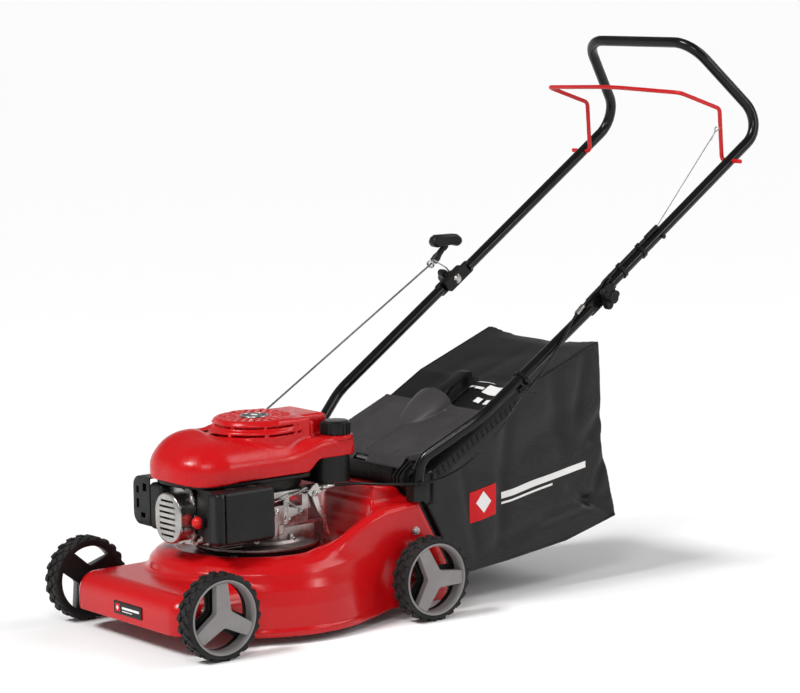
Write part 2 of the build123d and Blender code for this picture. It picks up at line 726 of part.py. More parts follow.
def rope_guide():
    """Steel pigtail: an eye round the fold bolt, a stem, and two turns round the rope."""
    facing = Plane(origin=along_rope(0), z_dir=rope_axis())
    coil = facing * Torus(6.6, 1.5) + Plane(origin=along_rope(-2.4), z_dir=rope_axis()) * Torus(6.6, 1.5)
    eye = Pos(-222.5, *PIVOT) * Rot(0, 90, 0) * Torus(7.6, 1.5)
    stem = bent_bar([(-222.5, PIVOT[0], PIVOT[1] + 7.6), (-222.8, 618, 563), (-231.5, 594, 579), (-234.3, 587.7, 577.1)],
                    [10, 4], 1.5)
    return coil + eye + stem


GRIP_CENTRE = (-236.0, 628.0, 613.0)


def starter_grip():
    """T-shaped pull handle."""
    base = along_rope(10)
    stem = rod(base, GRIP_CENTRE, 6.5) + Pos(*base) * Sphere(6.5)
    stem -= Plane(origin=along_rope(8.5), z_dir=-rope_axis()) * Cylinder(30, 40, align=(Align.CENTER, Align.CENTER, Align.MIN))
    bar = RectangleRounded(20, 24, 7)
    grip = Pos(*GRIP_CENTRE) * Rot(-4, 0, 0) * extrude(Plane.XZ * bar, amount=37, both=True)
    grip = rounded(grip, grip.faces().sort_by(Axis.Y)[0].edges() + grip.faces().sort_by(Axis.Y)[-1].edges(), 3)
    return stem + grip - rod(along_rope(0), along_rope(16), 1.1)


# ---------------------------------------------------------------- rear frame, flap and bag
SLANT = Vector(0, REAR_SLOPE, -1).normalized()       # down the deck's rear edge
OUTWARD = Vector(0, 1, REAR_SLOPE).normalized()      # away from it


def slant_point(down, out):
    spot = Vector(0, *REAR_TOP) + SLANT * down + OUTWARD * out
    return (spot.Y, spot.Z)


def slant_ring(top, bottom, out0, out1, half, window, window_top, window_bottom):
    """A flat frame standing against the deck's slanted rear edge."""
    def plate(a, b, width, o0, o1):
        return side_prism([slant_point(a, o0), slant_point(a, o1), slant_point(b, o1), slant_point(b, o0)],
                          -width, width)
    return plate(top, bottom, half, out0, out1) - plate(window_top, window_bottom, window, out0 - 1, out1 + 1)


def rear_frame():
    """Black chute frame: ring behind the deck, front wall under the flap, ribbed sides and hinge ears."""
    ring = slant_ring(-30, 168, 0.3, 4.8, 149, CHUTE_HALF, 14, 150)
    wall = block((-118, 118), (212, 216), (HOUSING_TOP + 0.2, 264))
    shelf = block((-149, 149), (212, 226), (HOUSING_TOP + 0.2, HOUSING_TOP + 4))
    body = ring + wall + shelf
    for x in (122, 132, 142):
        rib = side_prism([(212, 233), (212, 250), (222, 260), (231, 266), (237, 271), (246, 270), (248, 260),
                          (232, 250), (224, 236)], x, x + 3.5)
        rib -= disc_x(x - 1, x + 5, *HINGE, ROD_R + RUN_GAP)
        body += rib + mirror(rib, Plane.YZ)
    return body


def hinge_rod():
    return disc_x(-149, 149, *HINGE, ROD_R)


def flap_spring():
    """Torsion spring on the hinge rod, between the flap's middle knuckles."""
    coil = disc_x(-16, 16, *HINGE, 5.4) - disc_x(-17, 17, *HINGE, 3.8)
    leg = rod((14, HINGE[0] - 4.6, HINGE[1]), (14, HINGE[0] - 16, HINGE[1] - 22), 0.9)
    return coil + leg


def flap_line(y, lift=0.0):
    return FLAP_BACK[1] + FLAP_RISE * (y - FLAP_BACK[0]) + lift


HOOD_RADII = (52.0, 76.0, 29.0)
HOOD_FRONT = 320.0


def rear_flap():
    """Sloping lid with a rolled front edge, two stiffening sides and a hooded grip at the back."""
    front, hinge_line = 236.0, 262.0
    back = FLAP_BACK[0]
    thick, skirt_depth = 3.2, 9.0
    outline = [
        (front - 8, flap_line(front) - 4), (front, flap_line(front)), (back, flap_line(back)),
        (back, flap_line(back) - thick), (front + 3, flap_line(front) - thick), (front - 8, flap_line(front) - 8),
    ]
    lid = side_prism(outline, -FLAP_HALF + 22, FLAP_HALF - 22)

    def strip(depth):
        return [(hinge_line, flap_line(hinge_line)), (back, flap_line(back)), (back, flap_line(back, -depth)),
                (hinge_line, flap_line(hinge_line, -depth))]

    lid += side_prism(strip(thick), -FLAP_HALF, FLAP_HALF)
    for side in (-1, 1):
        lid += side_prism(strip(skirt_depth), side * FLAP_HALF - thick / 2, side * FLAP_HALF + thick / 2)

    def dome_of(inset):
        return Pos(0, back, flap_line(back, -2)) * scale(Sphere(1), tuple(r - inset for r in HOOD_RADII))

    above = [(HOOD_FRONT, 400), (back, 400), (back, flap_line(back, -1)), (HOOD_FRONT, flap_line(HOOD_FRONT, -1))]
    around = [(HOOD_FRONT, 400), (back + 1, 400), (back + 1, 320), (HOOD_FRONT, 290)]
    lid -= dome_of(4) & side_prism(around, -60, 60)
    lid += (dome_of(0) - dome_of(3)) & side_prism(above, -60, 60)
    for x in (-100, -40, 40, 100):
        knuckle = disc_x(x - 12, x + 12, *HINGE, 6.4)
        knuckle += block((x - 12, x + 12), (HINGE[0] - 3, HINGE[0] + 5), (HINGE[1], flap_line(HINGE[0]) - 1))
        lid += knuckle
    return lid - disc_x(-150, 150, *HINGE, ROD_R + RUN_GAP)


BAG_OUT = 11.0
BAG_FRONT = (252.0, 240.0)                    # corners of the bag's top, (y, z)
BAG_BEND = (499.0, 383.0)
BAG_BACK = (675.0, 453.0)


def bag_outline(inset):
    """Side view of the bag, (y, z), from the top front corner round the back to the bottom front."""
    middle, bottom = slant_point(-2, BAG_OUT), slant_point(170, BAG_OUT)
    corners = [
        (*middle, 1, -0.3), (*BAG_FRONT, 1, -1.5), (*BAG_BEND, 0.3, -1.2), (*BAG_BACK, -1, -1.6),
        (686, 300, -1, 0), (688, 240, -1, 0), (718, 115, -1.3, 1), (590, 83, 0, 1), (452, 66, 0, 1),
        (354, 56, 0, 1), (*bottom, 1, 1),
    ]
    return [(y + inset * dy, z + inset * dz) for y, z, dy, dz in corners]


def corner_room(side, inset):
    """The space round the foot of a handle tube that the bag's front top corner stays out of."""
    x = sorted((side * (149 - inset), side * 200))
    return block(x, (200, 276 + inset), (195 - inset, 330))


def bag_fabric():
    body = side_prism(bag_outline(0), -BAG_HALF, BAG_HALF)
    hollow = side_prism(bag_outline(BAG_SKIN), -BAG_HALF + BAG_SKIN, BAG_HALF - BAG_SKIN)
    for side in (-1, 1):
        body -= corner_room(side, 0)
        hollow -= corner_room(side, BAG_SKIN)
    mouth = side_prism([slant_point(14, 8), slant_point(14, 24), slant_point(150, 24), slant_point(150, 8)],
                       -CHUTE_HALF, CHUTE_HALF)
    return body - hollow - mouth


def bag_top(y, lift=0.0):
    """Height of the bag's front top panel, or above it."""
    rise = (BAG_BEND[1] - BAG_FRONT[1]) / (BAG_BEND[0] - BAG_FRONT[0])
    return BAG_FRONT[1] + rise * (y - BAG_FRONT[0]) + lift


def bag_frame():
    """Mouth ring of the bag and the arched carry handle on its top."""
    ring = slant_ring(-2, 168, 5.6, BAG_OUT - 0.2, 149, CHUTE_HALF, 14, 150)
    arch = [(414, 1), (418, 22), (432, 30), (472, 30), (486, 22), (490, 1), (480, 1), (476, 14), (468, 20),
            (436, 20), (428, 14), (424, 1)]
    outline = [(y, bag_top(y, lift)) for y, lift in arch]
    grip = side_prism(outline, -13, 13)
    base = side_prism([(409, bag_top(409, 0.3)), (497, bag_top(497, 0.3)), (497, bag_top(497, 3)),
                       (409, bag_top(409, 3))], -20, 20)
    return ring, grip + base


# ---------------------------------------------------------------- build and write
def build():
    add("deck_shell", deck_shell())
    add("deck_bolts", *deck_bolts())
    add("axle_bolts", *axle_bolts())
    add("rear_frame", rear_frame())
    add("hinge_rod", hinge_rod())
    add("flap_spring", flap_spring())
    add("handle_brackets", *handle_brackets())
    left = lower_tube()
    add("lower_tube_left", left)
    add("lower_tube_right", mirror(left, Plane.YZ))
    add("pivot_bolts", *pivot_bolts())

    tread, (body, cover) = tyre(), rim()
    for name, side, y, turn in (("front_left", 1, -HALF_BASE, 4), ("front_right", -1, -HALF_BASE, 40),
                                ("rear_left", 1, HALF_BASE, 27), ("rear_right", -1, HALF_BASE, 75)):
        add("tyre_" + name, wheel_place(tread, side, y, turn))
        add("rim_" + name, *[wheel_place(shape, side, y, turn) for shape in (body, cover)])

    add("crankshaft", crankshaft())
    add("flywheel", flywheel())
    add("blade_adapter", blade_adapter())
    add("blade", blade())
    add("blade_bolt", blade_bolt())
    add("recoil_pulley", recoil_pulley())

    add("engine_base", engine_base())
    add("crankcase", crankcase())
    add("cylinder_head", cylinder_head())
    add("spark_plug", *spark_plug())
    add("muffler_body", muffler_body())
    add("muffler_guard", muffler_guard())
    add("exhaust_shield", exhaust_shield())
    add("filter_backplate", filter_backplate())
    add("filter_element", block((90.3, 103.8), (-153.7, -54.3), (178.3, 255.7)))
    add("filter_cover", filter_cover())
    add("primer_bulb", primer_bulb())
    add("carburettor", carburettor())
    add("control_bracket", control_bracket())
    add("brake_lever", brake_lever())
    add("governor_lever", governor_lever())
    add("fuel_tank", fuel_tank())
    add("fuel_cap", knurled_cap(*FUEL_CAP, 329.5, 353, 27, 17 + RUN_GAP, 12))
    add("oil_cap", knurled_cap(-82, 62, 196.3, 214, 17, 9, 0) + disc_z(-82, 62, 160, 200, 3))
    add("shroud", shroud())
    add("starter_cap", turned([(0, DISC_TOP + 0.1), (25, DISC_TOP + 0.1), (25, 366), (22, 368), (0, 368.5)]))

    add("upper_handle", upper_handle())
    add("cable_clips", *cable_clips())
    add("cable_stop", *cable_stop())
    add("cable_upper", cable_upper())
    add("cable_lower", *cable_lower())
    add("inner_wire", *inner_wire())
    add("bail", bail())
    left_knob = knob()
    add("knob_left", left_knob)
    add("knob_right", mirror(left_knob, Plane.YZ))

    add("starter_rope", starter_rope())
    add("rope_core", rope_core())
    add("rope_guide", rope_guide())
    add("starter_grip", starter_grip())

    add("rear_flap", rear_flap())
    add("bag_fabric", bag_fabric())
    add("bag_frame", *bag_frame())


def write():
    os.makedirs("parts", exist_ok=True)
    place = Pos(0, -CRANK_SETBACK, 0)
    for name, solids in nodes.items():
        moved = [place * solid for solid in solids]
        shape = moved[0] if len(moved) == 1 else Compound(children=moved)
        export_step(shape, f"parts/{name}.step")
    box = Compound(children=[place * s for group in nodes.values() for s in group]).bounding_box()
    print(len(nodes), "nodes; low", box.min, "high", box.max)


build()
write()
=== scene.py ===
import json
from math import cos, hypot, pi, radians, sin

import bmesh
import bpy
import numpy as np
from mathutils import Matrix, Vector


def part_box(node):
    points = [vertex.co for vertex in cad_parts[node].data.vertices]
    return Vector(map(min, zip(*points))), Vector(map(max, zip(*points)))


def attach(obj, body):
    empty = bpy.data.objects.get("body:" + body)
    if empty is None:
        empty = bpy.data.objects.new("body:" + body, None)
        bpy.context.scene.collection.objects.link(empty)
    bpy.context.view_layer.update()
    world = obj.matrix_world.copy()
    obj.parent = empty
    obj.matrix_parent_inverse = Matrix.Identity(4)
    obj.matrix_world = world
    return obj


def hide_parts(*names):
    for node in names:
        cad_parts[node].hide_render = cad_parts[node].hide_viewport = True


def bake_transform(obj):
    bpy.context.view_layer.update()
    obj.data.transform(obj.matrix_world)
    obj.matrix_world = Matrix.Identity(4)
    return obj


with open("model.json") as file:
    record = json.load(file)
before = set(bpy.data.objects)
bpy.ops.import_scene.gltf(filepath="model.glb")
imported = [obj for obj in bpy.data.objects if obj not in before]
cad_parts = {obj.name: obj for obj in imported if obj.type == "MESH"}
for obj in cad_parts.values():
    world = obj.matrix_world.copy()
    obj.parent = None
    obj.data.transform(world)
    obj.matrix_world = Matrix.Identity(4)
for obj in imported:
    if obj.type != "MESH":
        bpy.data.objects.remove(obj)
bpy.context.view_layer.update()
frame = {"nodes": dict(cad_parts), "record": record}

import openvdb
from mathutils import Matrix, Vector

# ------------------------------------------------------------------ frame of reference
# Pieces are drawn in millimetres about the crank axis, with the ground at z = 0, and moved to the frame at the end.
MM = 0.001
crank_low, crank_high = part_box("crankshaft")
CRANK_Y = (crank_low[1] + crank_high[1]) / 2


def to_frame(point):
    return Vector((point[0] * MM, point[1] * MM + CRANK_Y, point[2] * MM))


def node_box(node):
    """A CAD node's box in millimetres about the crank axis."""
    low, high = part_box(node)
    shift = (0.0, CRANK_Y, 0.0)
    return [tuple((c - s) / MM for c, s in zip(corner, shift)) for corner in (low, high)]


# ------------------------------------------------------------------ camera, floor and lights
TARGET = (0.0, 327.95, 457.6)
AZIMUTH, ELEVATION, ROLL = radians(52.0225), radians(7.692), -0.0143
DISTANCE = 5.4024
LENS, SENSOR = 133.3, 36.0
FLOOR_SIZE = 400.0                          # metres, so that its edge meets the horizon
SKY_HORIZON, SKY_TOP = 1.0, 0.22            # the white sky's strength, low down and overhead


def add_camera():
    camera = bpy.data.objects.new("camera", bpy.data.cameras.new("camera"))
    bpy.context.scene.collection.objects.link(camera)
    back = Vector((sin(AZIMUTH) * cos(ELEVATION), -cos(AZIMUTH) * cos(ELEVATION), sin(ELEVATION)))
    camera.location = to_frame(TARGET) + back * DISTANCE
    turn = back.to_track_quat("Z", "Y").to_matrix() @ Matrix.Rotation(ROLL, 3, "Z")
    camera.rotation_euler = turn.to_euler()
    camera.data.lens = LENS
    camera.data.sensor_width = SENSOR
    bpy.context.scene.camera = camera


def add_area_light(name, location, size, power):
    light = bpy.data.lights.new(name, "AREA")
    light.shape, light.size, light.energy = "SQUARE", size, power
    lamp = bpy.data.objects.new(name, light)
    lamp.location = location
    aim = Vector((0, 0, 0.35)) - Vector(location)
    lamp.rotation_euler = aim.to_track_quat("-Z", "Y").to_euler()
    bpy.context.scene.collection.objects.link(lamp)


def add_sun(name, towards, strength, spread):
    """A soft distant light from a direction, so that the floor is evenly bright."""
    light = bpy.data.lights.new(name, "SUN")
    light.energy, light.angle = strength, radians(spread)
    lamp = bpy.data.objects.new(name, light)
    lamp.rotation_euler = Vector(towards).to_track_quat("Z", "Y").to_euler()
    bpy.context.scene.collection.objects.link(lamp)


def add_studio():
    bpy.ops.mesh.primitive_plane_add(size=FLOOR_SIZE, location=(0, 0, 0))
    floor = bpy.context.object
    floor.name = "floor"
    floor.data.materials.append(plain("floor_paint", (0.96, 0.96, 0.96), 0.9, Specular_IOR_Level=0.0))
    add_sun("key", (-0.1, -1.0, 1.25), 2.3, 16)
    add_sun("rim", (0.5, 1.0, 1.0), 0.8, 30)
    add_area_light("softbox", (2.4, -2.4, 3.0), 1.1, 36)
    add_area_light("strip", (3.2, 1.6, 2.0), 0.7, 16)
    world = bpy.data.worlds.new("studio")
    bpy.context.scene.world = world
    world.use_nodes = True
    tree = world.node_tree
    shade = tree.nodes["Background"]
    shade.inputs["Color"].default_value = (1, 1, 1, 1)
    place, split = tree.nodes.new("ShaderNodeTexCoord"), tree.nodes.new("ShaderNodeSeparateXYZ")
    tree.links.new(place.outputs["Generated"], split.inputs[0])
    tree.links.new(ramp(tree, split.outputs["Z"], SKY_HORIZON, SKY_TOP, 0.04, 0.42), shade.inputs["Strength"])
    bpy.context.scene.view_settings.view_transform = "Standard"


# ------------------------------------------------------------------ materials
def plain(name, color, roughness, **sockets):
    """A material whose only texture comes later; sockets are set on the shader itself."""
    material = bpy.data.materials.new(name)
    material.use_nodes = True
    shader = material.node_tree.nodes["Principled BSDF"]
    shader.inputs["Base Color"].default_value = (*color, 1)
    shader.inputs["Roughness"].default_value = roughness
    for socket, value in sockets.items():
        shader.inputs[socket.replace("_", " ")].default_value = value
    return material


def texture(tree, kind, scale, **values):
    """A texture node on the object's own coordinates."""
    place = tree.nodes.new("ShaderNodeTexCoord")
    node = tree.nodes.new(kind)
    tree.links.new(place.outputs["Object"], node.inputs["Vector"])
    node.inputs["Scale"].default_value = scale
    for socket, value in values.items():
        node.inputs[socket].default_value = value
    return node


def ramp(tree, source, low, high, start=0.3, end=0.7):
    """Maps a texture's value to between two grey or colour values."""
    node = tree.nodes.new("ShaderNodeMapRange" if not isinstance(low, tuple) else "ShaderNodeValToRGB")
    if isinstance(low, tuple):
        node.color_ramp.elements[0].position, node.color_ramp.elements[1].position = start, end
        node.color_ramp.elements[0].color, node.color_ramp.elements[1].color = (*low, 1), (*high, 1)
        tree.links.new(source, node.inputs["Fac"])
        return node.outputs["Color"]
    node.inputs["From Min"].default_value, node.inputs["From Max"].default_value = start, end
    node.inputs["To Min"].default_value, node.inputs["To Max"].default_value = low, high
    tree.links.new(source, node.inputs["Value"])
    return node.outputs["Result"]


def add_bump(tree, source, distance, strength=1.0):
    """A bump on the shader's normal."""
    bump = tree.nodes.new("ShaderNodeBump")
    bump.inputs["Distance"].default_value = distance
    bump.inputs["Strength"].default_value = strength
    tree.links.new(source, bump.inputs["Height"])
    tree.links.new(bump.outputs["Normal"], tree.nodes["Principled BSDF"].inputs["Normal"])


def enamel(name, color, dark, roughness, orange_peel=0.00004, gloss=0.3):
    """Gloss paint or gloss moulding: slight tone drift, orange peel and faint handling marks."""
    material = plain(name, color, roughness, Specular_IOR_Level=gloss)
    tree = material.node_tree
    shader = tree.nodes["Principled BSDF"]
    drift = texture(tree, "ShaderNodeTexNoise", 5.0, Detail=3.0)
    tree.links.new(ramp(tree, drift.outputs["Fac"], dark, color, 0.25, 0.6), shader.inputs["Base Color"])
    marks = texture(tree, "ShaderNodeTexNoise", 60.0, Detail=5.0)
    tree.links.new(ramp(tree, marks.outputs["Fac"], roughness * 0.8, roughness * 1.35), shader.inputs["Roughness"])
    peel = texture(tree, "ShaderNodeTexNoise", 420.0, Detail=1.0)
    add_bump(tree, peel.outputs["Fac"], orange_peel)
    return material


def moulded(name, color, light, roughness, grain_scale=900.0, grain=0.00012):
    """Grained moulded plastic or rubber with paler scuffs."""
    material = plain(name, color, roughness, Specular_IOR_Level=0.2)
    tree = material.node_tree
    shader = tree.nodes["Principled BSDF"]
    scuffs = texture(tree, "ShaderNodeTexNoise", 14.0, Detail=6.0, Roughness=0.65)
    tree.links.new(ramp(tree, scuffs.outputs["Fac"], color, light, 0.45, 0.8), shader.inputs["Base Color"])
    tree.links.new(ramp(tree, scuffs.outputs["Fac"], roughness * 0.85, roughness * 1.2), shader.inputs["Roughness"])
    pits = texture(tree, "ShaderNodeTexVoronoi", grain_scale)
    add_bump(tree, pits.outputs["Distance"], grain)
    return material


def metal(name, color, dark, roughness, streaks=(60.0, 60.0, 60.0), casting=0.0):
    """Bare or plated metal: tone drift, fine streaks, and a cast surface where casting is above zero."""
    material = plain(name, color, roughness, Metallic=1.0)
    tree = material.node_tree
    shader = tree.nodes["Principled BSDF"]
    drift = texture(tree, "ShaderNodeTexNoise", 22.0, Detail=6.0)
    tree.links.new(ramp(tree, drift.outputs["Fac"], dark, color, 0.3, 0.62), shader.inputs["Base Color"])
    place = tree.nodes.new("ShaderNodeTexCoord")
    stretch = tree.nodes.new("ShaderNodeMapping")
    stretch.inputs["Scale"].default_value = streaks
    lines = tree.nodes.new("ShaderNodeTexNoise")
    lines.inputs["Scale"].default_value = 12.0
    lines.inputs["Detail"].default_value = 4.0
    tree.links.new(place.outputs["Object"], stretch.inputs["Vector"])
    tree.links.new(stretch.outputs["Vector"], lines.inputs["Vector"])
    tree.links.new(ramp(tree, lines.outputs["Fac"], roughness * 0.7, roughness * 1.4), shader.inputs["Roughness"])
    if casting:
        sand = texture(tree, "ShaderNodeTexNoise", 700.0, Detail=3.0)
        add_bump(tree, sand.outputs["Fac"], casting)
    return material


def woven(name, color, light, roughness, thread=0.0011):
    """Coated bag cloth: a plain weave of crossing threads, with a soft sheen and dusty patches."""
    material = plain(name, color, roughness, Sheen_Weight=0.01, Sheen_Roughness=0.4, Specular_IOR_Level=0.3)
    tree = material.node_tree
    shader = tree.nodes["Principled BSDF"]
    patches = texture(tree, "ShaderNodeTexNoise", 7.0, Detail=6.0, Roughness=0.6)
    tree.links.new(ramp(tree, patches.outputs["Fac"], color, light, 0.4, 0.85), shader.inputs["Base Color"])
    gloss = ramp(tree, patches.outputs["Fac"], roughness * 0.85, roughness * 1.1)
    tree.links.new(gloss, shader.inputs["Roughness"])
    crossing = []
    for axis in ("X", "Y", "Z"):
        wave = texture(tree, "ShaderNodeTexWave", pi / (10 * thread))
        wave.bands_direction = axis
        crossing.append(wave.outputs["Fac"])
    lift = crossing[0]
    for other in crossing[1:]:
        add = tree.nodes.new("ShaderNodeMath")
        add.operation = "MULTIPLY"
        tree.links.new(lift, add.inputs[0])
        tree.links.new(other, add.inputs[1])
        lift = add.outputs[0]
    add_bump(tree, lift, 0.0003, 0.6)
    return material


RED, RED_DARK = (0.50, 0.004, 0.006), (0.41, 0.002, 0.004)
BLACK, BLACK_LIGHT = (0.008, 0.008, 0.008), (0.024, 0.023, 0.022)


def make_materials():
    return {
        "red_deck": enamel("deck_enamel", RED, RED_DARK, 0.2, 0.00003, 0.34),
        "red_plastic": enamel("shroud_gloss", RED, RED_DARK, 0.24, 0.00002, 0.26),
        "red_rod": enamel("bail_enamel", (0.58, 0.014, 0.014), RED_DARK, 0.22),
        "primer_red": enamel("primer_gloss", (0.6, 0.012, 0.012), RED_DARK, 0.2),
        "black_tube": enamel("tube_powder_coat", (0.005, 0.005, 0.005), (0.003, 0.003, 0.003), 0.2, 0.00006, 0.25),
        "black_steel": enamel("satin_black_steel", (0.012, 0.011, 0.011), (0.007, 0.007, 0.007), 0.36, 0.00006, 0.2),
        "cable_black": enamel("cable_jacket", (0.007, 0.007, 0.007), (0.004, 0.004, 0.004), 0.3, 0.00003, 0.25),
        "black_plastic": moulded("black_moulding", (0.007, 0.0065, 0.0065), (0.015, 0.014, 0.014), 0.3),
        "grey_plastic": moulded("flap_moulding", (0.040, 0.036, 0.039), (0.062, 0.057, 0.060), 0.42, 1100.0),
        "wheel_black": moulded("wheel_moulding", BLACK, BLACK_LIGHT, 0.38),
        "wheel_grey": moulded("cover_silver_grey", (0.22, 0.205, 0.205), (0.28, 0.27, 0.27), 0.36, 1200.0, 0.00005),
        "tyre": moulded("tyre_rubber", (0.013, 0.012, 0.012), (0.034, 0.031, 0.030), 0.62, 500.0, 0.0002),
        "rubber": moulded("boot_rubber", (0.012, 0.012, 0.012), (0.02, 0.02, 0.02), 0.55),
        "bare_aluminium": metal("cast_aluminium", (0.42, 0.36, 0.345), (0.17, 0.14, 0.135), 0.34, casting=0.0003),
        "zinc": metal("zinc_plate", (0.52, 0.50, 0.48), (0.26, 0.25, 0.24), 0.27),
        "steel": metal("plain_steel", (0.40, 0.39, 0.38), (0.24, 0.235, 0.23), 0.3, (8.0, 90.0, 90.0)),
        "bag_cloth": woven("bag_cloth", (0.0045, 0.0040, 0.0039), (0.009, 0.0078, 0.0076), 0.36),
        "rope": woven("starter_cord", (0.10, 0.10, 0.10), (0.22, 0.22, 0.22), 0.7, 0.0009),
        "filter_foam": moulded("filter_foam", (0.03, 0.03, 0.03), (0.06, 0.06, 0.06), 0.9, 400.0, 0.0006),
        "print_white": enamel("print_white", (0.80, 0.78, 0.77), (0.70, 0.68, 0.67), 0.5, 0.00003, 0.15),
        "print_red": enamel("print_red", (0.60, 0.012, 0.016), (0.5, 0.010, 0.014), 0.5, 0.00003, 0.15),
    }


# ------------------------------------------------------------------ meshes
SHARP_ANGLE = 35.0                          # degrees between faces, above which an edge is sharp
BEVEL_STEPS = 2


def mesh_object(name, points, faces, material, smooth_angle=SHARP_ANGLE):
    """A mesh from millimetre points, shaded smooth except over sharp edges."""
    mesh = bpy.data.meshes.new(name)
    mesh.from_pydata([to_frame(p) for p in points], [], faces)
    mesh.update()
    return finish_object(name, mesh, material, smooth_angle)


def finish_object(name, mesh, material, smooth_angle=SHARP_ANGLE):
    piece = bpy.data.objects.new(name, mesh)
    bpy.context.scene.collection.objects.link(piece)
    if material:
        mesh.materials.append(materials[material])
    for polygon in mesh.polygons:
        polygon.use_smooth = True
    mesh.set_sharp_from_angle(angle=radians(smooth_angle))
    return piece


def apply_modifiers(piece):
    """Replaces a piece's mesh by what its modifiers make of it."""
    graph = bpy.context.evaluated_depsgraph_get()
    mesh = bpy.data.meshes.new_from_object(piece.evaluated_get(graph))
    piece.modifiers.clear()
    piece.data = mesh
    return piece


def bevelled(piece, width):
    bevel = piece.modifiers.new("bevel", "BEVEL")
    bevel.width, bevel.segments = width * MM, BEVEL_STEPS
    bevel.limit_method, bevel.angle_limit = "ANGLE", radians(SHARP_ANGLE)
    bevel.harden_normals = False
    return apply_modifiers(piece)


def joined(name, pieces):
    """One object from several, keeping each one's materials."""
    mesh = bpy.data.meshes.new(name)
    work = bmesh.new()
    used = []
    for piece in pieces:
        start = len(work.faces)
        work.from_mesh(piece.data)
        work.faces.ensure_lookup_table()
        slots = list(piece.data.materials)
        for material in slots:
            if material not in used:
                used.append(material)
        for face in work.faces[start:]:
            face.material_index = used.index(slots[face.material_index])
    work.to_mesh(mesh)
    work.free()
    for material in used:
        mesh.materials.append(material)
    for piece in pieces:
        bpy.data.objects.remove(piece)
    whole = bpy.data.objects.new(name, mesh)
    bpy.context.scene.collection.objects.link(whole)
    return whole


def prism(name, outline, low, high, material, axis="X", bevel=0.0):
    """A flat outline made solid between two values on an axis; the outline lies on the other two, in order."""
    order = {"X": (1, 2, 0), "Y": (0, 2, 1), "Z": (0, 1, 2)}[axis]
    points = []
    for level in (low, high):
        for pair in outline:
            point = [0.0, 0.0, 0.0]
            point[order[0]], point[order[1]], point[order[2]] = pair[0], pair[1], level
            points.append(point)
    count = len(outline)
    faces = [list(range(count)), list(range(count, 2 * count))]
    faces += [[k, (k + 1) % count, (k + 1) % count + count, k + count] for k in range(count)]
    piece = mesh_object(name, points, faces, material)
    outward(piece)
    return bevelled(piece, bevel) if bevel else piece


def outward(piece):
    work = bmesh.new()
    work.from_mesh(piece.data)
    bmesh.ops.recalc_face_normals(work, faces=work.faces)
    work.to_mesh(piece.data)
    work.free()


def lathe(name, profile, material, centre=(0, 0, 0), axis="X", steps=64, smooth_angle=SHARP_ANGLE):
    """A solid of revolution from (radius, height) points about an axis through centre."""
    points, faces, count = [], [], len(profile)
    for k in range(steps):
        c, s = cos(2 * pi * k / steps), sin(2 * pi * k / steps)
        for radius, height in profile:
            flat = {"X": (height, radius * c, radius * s), "Y": (radius * s, height, radius * c),
                    "Z": (radius * c, radius * s, height)}[axis]
            points.append([a + b for a, b in zip(flat, centre)])
    for k in range(steps):
        for i in range(count):
            a, b = k * count + i, k * count + (i + 1) % count
            c, d = ((k + 1) % steps) * count + (i + 1) % count, ((k + 1) % steps) * count + i
            faces.append([a, b, c, d])
    piece = mesh_object(name, points, faces, material, smooth_angle)
    work = bmesh.new()
    work.from_mesh(piece.data)
    bmesh.ops.remove_doubles(work, verts=work.verts, dist=0.00001)
    bmesh.ops.recalc_face_normals(work, faces=work.faces)
    work.to_mesh(piece.data)
    work.free()
    return piece


# ------------------------------------------------------------------ distance fields
RELAX_ROUNDS = 2                            # smoothing rounds that take the grid's steps out of a surface


